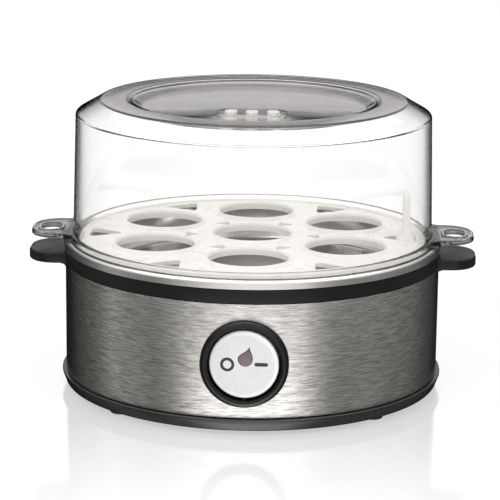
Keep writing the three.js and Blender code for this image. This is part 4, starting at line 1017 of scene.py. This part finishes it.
def build_tray():
    rim_inner = tray_radius - 1.6
    disc = revolve([
        (0, tray_low), (tray_radius, tray_low, 0.4), (tray_radius, tray_top + 1, SOFT),
        (rim_inner, tray_top + 1, 0.3), (rim_inner - SOFT, tray_top, 0.3), (0, tray_top),
    ])
    spots = [(0.0, 0.0)] + [(egg_circle, 60.0 * i + 30) for i in range(6)]
    lip_top = tray_top + tray_lip
    lip_inner = egg_hole - SUNK
    lip = revolve([
        (lip_inner, tray_top - SUNK), (egg_hole + 2.5, tray_top - SUNK),
        (egg_hole + 2.1, tray_top, 0.5), (egg_hole + 1.0, lip_top, 0.45), (lip_inner, lip_top),
    ], SMALL_ROUND)
    cup = revolve([
        (0, tray_low - PAST), (egg_hole, tray_low - PAST), (egg_hole, lip_top - 0.9, 0.8),
        (egg_hole + 1.08, lip_top + 0.18), (0, lip_top + 0.18),
    ], SMALL_ROUND)
    steps = [add(at_angle(lip, *spot)) for spot in spots]
    steps += [cut(at_angle(cup, *spot)) for spot in spots]
    drain_base = tray_radius - 4.4
    outer = drain(drain_base - 16.7, drain_base, 9.2, 2.2)
    inner_centre = egg_circle * cos(radians(30)) * 2 / 3
    inner = drain(inner_centre - 4.6, inner_centre + 2.3, 4.6, 1.1)
    holes = [plate(outline, tray_low - PAST, tray_top + PAST) for outline in (outer, inner)]
    steps += [cut(hole.turned(60 * i)) for i in range(6) for hole in holes]
    half_thick = 1.45
    foot_level = (tray_low + tray_top) / 2
    top_level = TRAY_HIGH.z
    flare_top = tray_top + 4
    edge_view = plate([
        (-half_thick, top_level, half_thick - 0.02), (-half_thick, flare_top, 4), (-half_thick - 3, foot_level),
        (half_thick + 3, foot_level), (half_thick, flare_top, 4), (half_thick, top_level, half_thick - 0.02),
    ], -17, 17).turned(90, "X")
    flat_view = plate([
        (-8.5, foot_level), (8.5, foot_level), (8.5, tray_top + PAST), (5.5, top_level, 3),
        (-5.5, top_level, 3), (-8.5, tray_top + PAST),
    ], -17, 17).turned(90, "X").turned(90)
    grip = made(edge_view, keep(flat_view)).moved(x=grip_radius)
    steps.append(add(grip))
    finish_piece(combine("tray_moulding", disc, *steps), "tray", "white_plastic", ["egg_tray"])


# ---- clear lid
def ear():
    """The right-hand ear of the lid, with its raised edge and its slot."""
    root = lid_flange_radius - 2
    flare = 4.0
    corner = 12.5

    def outline(inset):
        side = ear_half_width - inset
        end = ear_reach - inset
        upper = [(end, side, corner - inset), (root + flare, side, flare), (root - flare / 2, side + flare)]
        return [(x, -y, *radius) for x, y, *radius in reversed(upper)] + upper

    slab = plate(outline(0), lid_seat, flange_top, 0.6)
    flange = cylinder(lid_flange_radius, flange_top - 1.6, flange_top + 2, ROUND)
    field = made(plate(outline(1.3), flange_top - 0.8, flange_top + PAST), cut(flange))
    slot_width = 9.4
    slot_depth = 14.0
    rim = 1.3
    slot_x = ear_reach - 3.9 - slot_width / 2
    raised = panel(slot_width + 2 * rim, slot_depth + 2 * rim, 5.8, slot_x)
    slot_rim = plate(raised, lid_seat + SUNK, flange_top, 0.5)
    slot_hole = plate(panel(slot_width, slot_depth, 4.6, slot_x), lid_seat - PAST, flange_top + PAST)
    bore = cylinder(lid_base_radius - lid_wall / 2, lid_seat - PAST, flange_top + PAST, ROUND)
    return made(slab, cut(field), add(slot_rim), cut(slot_hole), cut(bore))


def build_lid():
    crease = 1.0
    face = [
        (0, recess_floor), (recess_radius, recess_floor, crease),
        (recess_mouth, lid_top - 0.4, crease), (recess_mouth + 2.6, lid_top, 2.5),
        (lid_top_radius, lid_top, 1.9), (lid_shoulder_radius, lid_top - shoulder_drop, 1.2),
        (lid_base_radius + lid_lean * flange_height, lid_seat),
    ]
    inside = offset_path(face, lid_wall)[::-1]
    foot = inside.pop(0)
    rib = pan_step_radius - FIT - 0.1
    dome = revolve(face[:-1] + [
        (lid_base_radius, flange_top, 0.5), (lid_flange_radius, flange_top, 0.6),
        (lid_flange_radius, lid_seat, 0.4), (rib, lid_seat), (rib, LID_LOW.z, 0.4),
        (foot[0], LID_LOW.z, 0.4),
    ] + inside)
    pad_length = 2 * vent_pitch + 2 * vent_radius + 7.2
    pad_top = lid_top - 2.0
    around, within = (panel(pad_length - 2 * wall, pad_depth - 2 * wall, 5.04 - wall, 0, -pad_offset)
                      for wall in (0, lid_wall))
    pad = plate(around, recess_floor - 1, pad_top, 0.6)
    hollow = plate(within, recess_floor - 4, pad_top - lid_wall)
    right = ear()
    steps = [add(pad), add(right), add(right.turned(180)), cut(hollow)]
    vent = plate(panel(2 * vent_radius, vent_length, vent_radius - 0.02), recess_floor - 4, pad_top + PAST)
    steps += [cut(vent.moved(i * vent_pitch, -vent_offset)) for i in (-1, 0, 1)]
    finish_piece(combine("lid_moulding", dome, *steps), "lid", "clear_plastic", ["lid"], sharp=28)


# ---- CAD nodes that keep their shape
def dress_nodes():
    for part in frame["record"]["subparts"]:
        node = frame["nodes"][part["node"]]
        look = LOOKS[part["material_slot"]]
        for material_slot in node.material_slots:
            material_slot.material = look


# ---- studio
# Brightness by the angle round the object, over a full turn: 0.5 is the front, 0.25 the left and 0.75 the right.
# STUDIO is the wall, TABLE the bright table before the object and REAR the softbox behind it, as gloss sees them.
STUDIO = [
    (0.0, 0.0), (0.05, 0.0), (0.1, 0.015), (0.145, 0.075), (0.194, 0.14), (0.248, 0.36), (0.294, 0.27),
    (0.335, 0.21), (0.374, 0.35), (0.41, 0.6), (0.46, 0.95), (0.5, 1.05), (0.55, 1.0), (0.584, 0.86),
    (0.62, 0.42), (0.659, 0.26), (0.721, 0.26), (0.797, 0.2), (0.887, 0.07), (0.94, 0.01), (1.0, 0.0),
]
TABLE = [(0.35, 0.0), (0.45, 1.0), (0.55, 1.0), (0.65, 0.0)]
SOFTBOX = 0.6
REAR = [(0.0, SOFTBOX), (0.04, SOFTBOX), (0.09, 0.0), (0.91, 0.0), (0.96, SOFTBOX), (1.0, SOFTBOX)]
# The backdrop as clear plastic shows it: white, and a little greyer from the sides
BACKDROP = [(0.0, 1.0), (0.13, 1.0), (0.18, 0.8), (0.82, 0.8), (0.87, 1.0), (1.0, 1.0)]
BACKDROP_GLOW = 1.08


def build_world():
    world = bpy.data.worlds.new("studio")
    bpy.context.scene.world = world
    world.use_nodes = True
    world.node_tree.nodes.clear()
    net = Net(world.node_tree)
    x, y, z = net.axes(net.node("TexCoord").outputs["Generated"])
    angle = net.math("ARCTAN2", x, net.times(y, -1.0))
    turn = net.plus(net.math("DIVIDE", angle, 2 * pi), 0.5)

    def light(colour, strength):
        return net.node("Background", {"Color": colour, "Strength": strength}).outputs[0]

    seen = net.ramp(turn, STUDIO, "EASE")
    rear = net.times(net.ramp(turn, REAR, "EASE"), net.ranged(z, 0.1, 0.2))
    table = net.times(net.ranged(z, -0.3, -0.55), net.ramp(turn, TABLE, "EASE"))
    above = net.ranged(z, 0.3, 0.6)
    overhead = net.ranged(z, 0.7, 0.92)
    for share, tone in ((rear, 1.0), (above, 1.0), (overhead, 3.2), (table, 2.4)):
        seen = net.mix(share, seen, (tone, tone, tone, 1))
    behind = net.mix(net.ranged(z, 0.15, 0.45), net.ramp(turn, BACKDROP, "EASE"), (0.45, 0.45, 0.45, 1))
    rays = net.node("LightPath").outputs
    shown = light(WHITE, 0.5)
    for ray, background in (("Is Glossy Ray", light(seen, 1.0)),
                            ("Is Transmission Ray", light(behind, BACKDROP_GLOW)),
                            ("Is Camera Ray", light(WHITE, 1.0))):
        shown = net.mix_shaders(rays[ray], shown, background)
    net.node("OutputWorld", {"Surface": shown})


def build_floor():
    """A pale floor with a faint gloss that keeps the object's shadow; metal sees the studio in its place."""
    rings = 60
    spokes = 96
    verts = [(0, 0, 0)]
    faces = [(0, 1 + i, 1 + (i + 1) % spokes) for i in range(spokes)]
    for k in range(1, rings + 1):
        radius = 6.0 * (k / rings) ** 2
        for i in range(spokes):
            angle = 2 * pi * i / spokes
            verts.append((radius * cos(angle), radius * sin(angle), 0))
            if k < rings:
                a = 1 + (k - 1) * spokes
                b = 1 + k * spokes
                j = (i + 1) % spokes
                faces.append((a + i, b + i, b + j, a + j))
    mesh = bpy.data.meshes.new("floor")
    mesh.from_pydata(verts, [], faces)
    floor = bpy.data.objects.new("floor", mesh)
    bpy.context.scene.collection.objects.link(floor)
    net, bsdf = new_look("floor")
    place = net.place()
    x, y, _ = net.axes(place)
    soft = net.noise(place, 7.0, 2.0)
    net.set(bsdf, {
        "Base Color": (0.4, 0.4, 0.4, 1),
        "Specular IOR Level": 0.0,
        "Roughness": net.ranged(soft, 0.3, 0.7, 0.45, 0.55),
    })

    # The gloss fades towards the front and the sides. The glow makes up for what the mirror part takes.
    gloss = net.times(net.ranged(y, -0.215, -0.07, 0.0, 0.5), net.ranged(net.length(x, y), 0.26, 0.2))
    balance = net.math("DIVIDE", net.minus(1.0, net.times(gloss, SOFTBOX)), net.minus(1.0, gloss))
    glow = net.node("Emission", {"Color": WHITE, "Strength": net.minus(balance, 0.33)})
    lit = net.node("AddShader", {0: bsdf.outputs[0], 1: glow.outputs[0]}).outputs[0]
    mirror = net.node("BsdfAnisotropic", {
        "Color": WHITE, "Roughness": net.ranged(soft, 0.3, 0.7, 0.06, 0.09),
    }).outputs[0]
    sheen = net.mix_shaders(gloss, lit, mirror)
    aside = net.minus(net.size(x), net.times(net.size(y), 0.35))
    plain = net.node("Emission", {
        "Color": WHITE, "Strength": net.ranged(aside, 0.12, 0.3, BACKDROP_GLOW, 0.85),
    }).outputs[0]
    through = net.node("LightPath").outputs["Is Transmission Ray"]
    net.show(net.mix_shaders(through, sheen, plain))
    mesh.materials.append(LOOKS["floor"])
    floor.visible_glossy = False


def lamp(name, place, target, width, depth, power):
    data = bpy.data.lights.new(name, "AREA")
    data.shape = "RECTANGLE"
    data.size = width
    data.size_y = depth
    data.energy = power
    obj = bpy.data.objects.new(name, data)
    obj.location = place
    obj.rotation_euler = (Vector(target) - Vector(place)).to_track_quat("-Z", "Y").to_euler()
    obj.visible_camera = False
    obj.visible_glossy = False
    bpy.context.scene.collection.objects.link(obj)


def build_camera():
    """1 m in front of the drum and 0.3 m above the table, with a long lens."""
    turn = radians(2.0)
    pitch = radians(13.517)
    roll = radians(0.63)
    data = bpy.data.cameras.new("camera")
    data.sensor_width = 36.0
    data.lens = 162.2
    data.clip_start = 0.01
    data.clip_end = 50.0
    camera = bpy.data.objects.new("camera", data)
    camera.matrix_world = (
        Matrix.Rotation(turn, 4, "Z") @ Matrix.Translation((-0.00108, -1.0, 0.3014))
        @ Matrix.Rotation(pi / 2 - pitch, 4, "X") @ Matrix.Rotation(roll, 4, "Z"))
    bpy.context.scene.collection.objects.link(camera)
    bpy.context.scene.camera = camera


build_camera()
build_world()
build_floor()
lamp("key", (-0.7, -0.9, 1.5), (0, 0, 0.06), 1.2, 1.2, 12)
lamp("fill", (0.9, -0.7, 1.1), (0, 0, 0.06), 1.0, 1.0, 6)
lamp("back", (0.0, 1.3, 1.3), (0, 0, 0.08), 1.6, 0.8, 7)

dress_nodes()
build_base()
build_body()
build_band()
build_pan()
build_switch()
build_gland()
build_tray()
build_lid()

bpy.context.scene.view_settings.view_transform = "Standard"
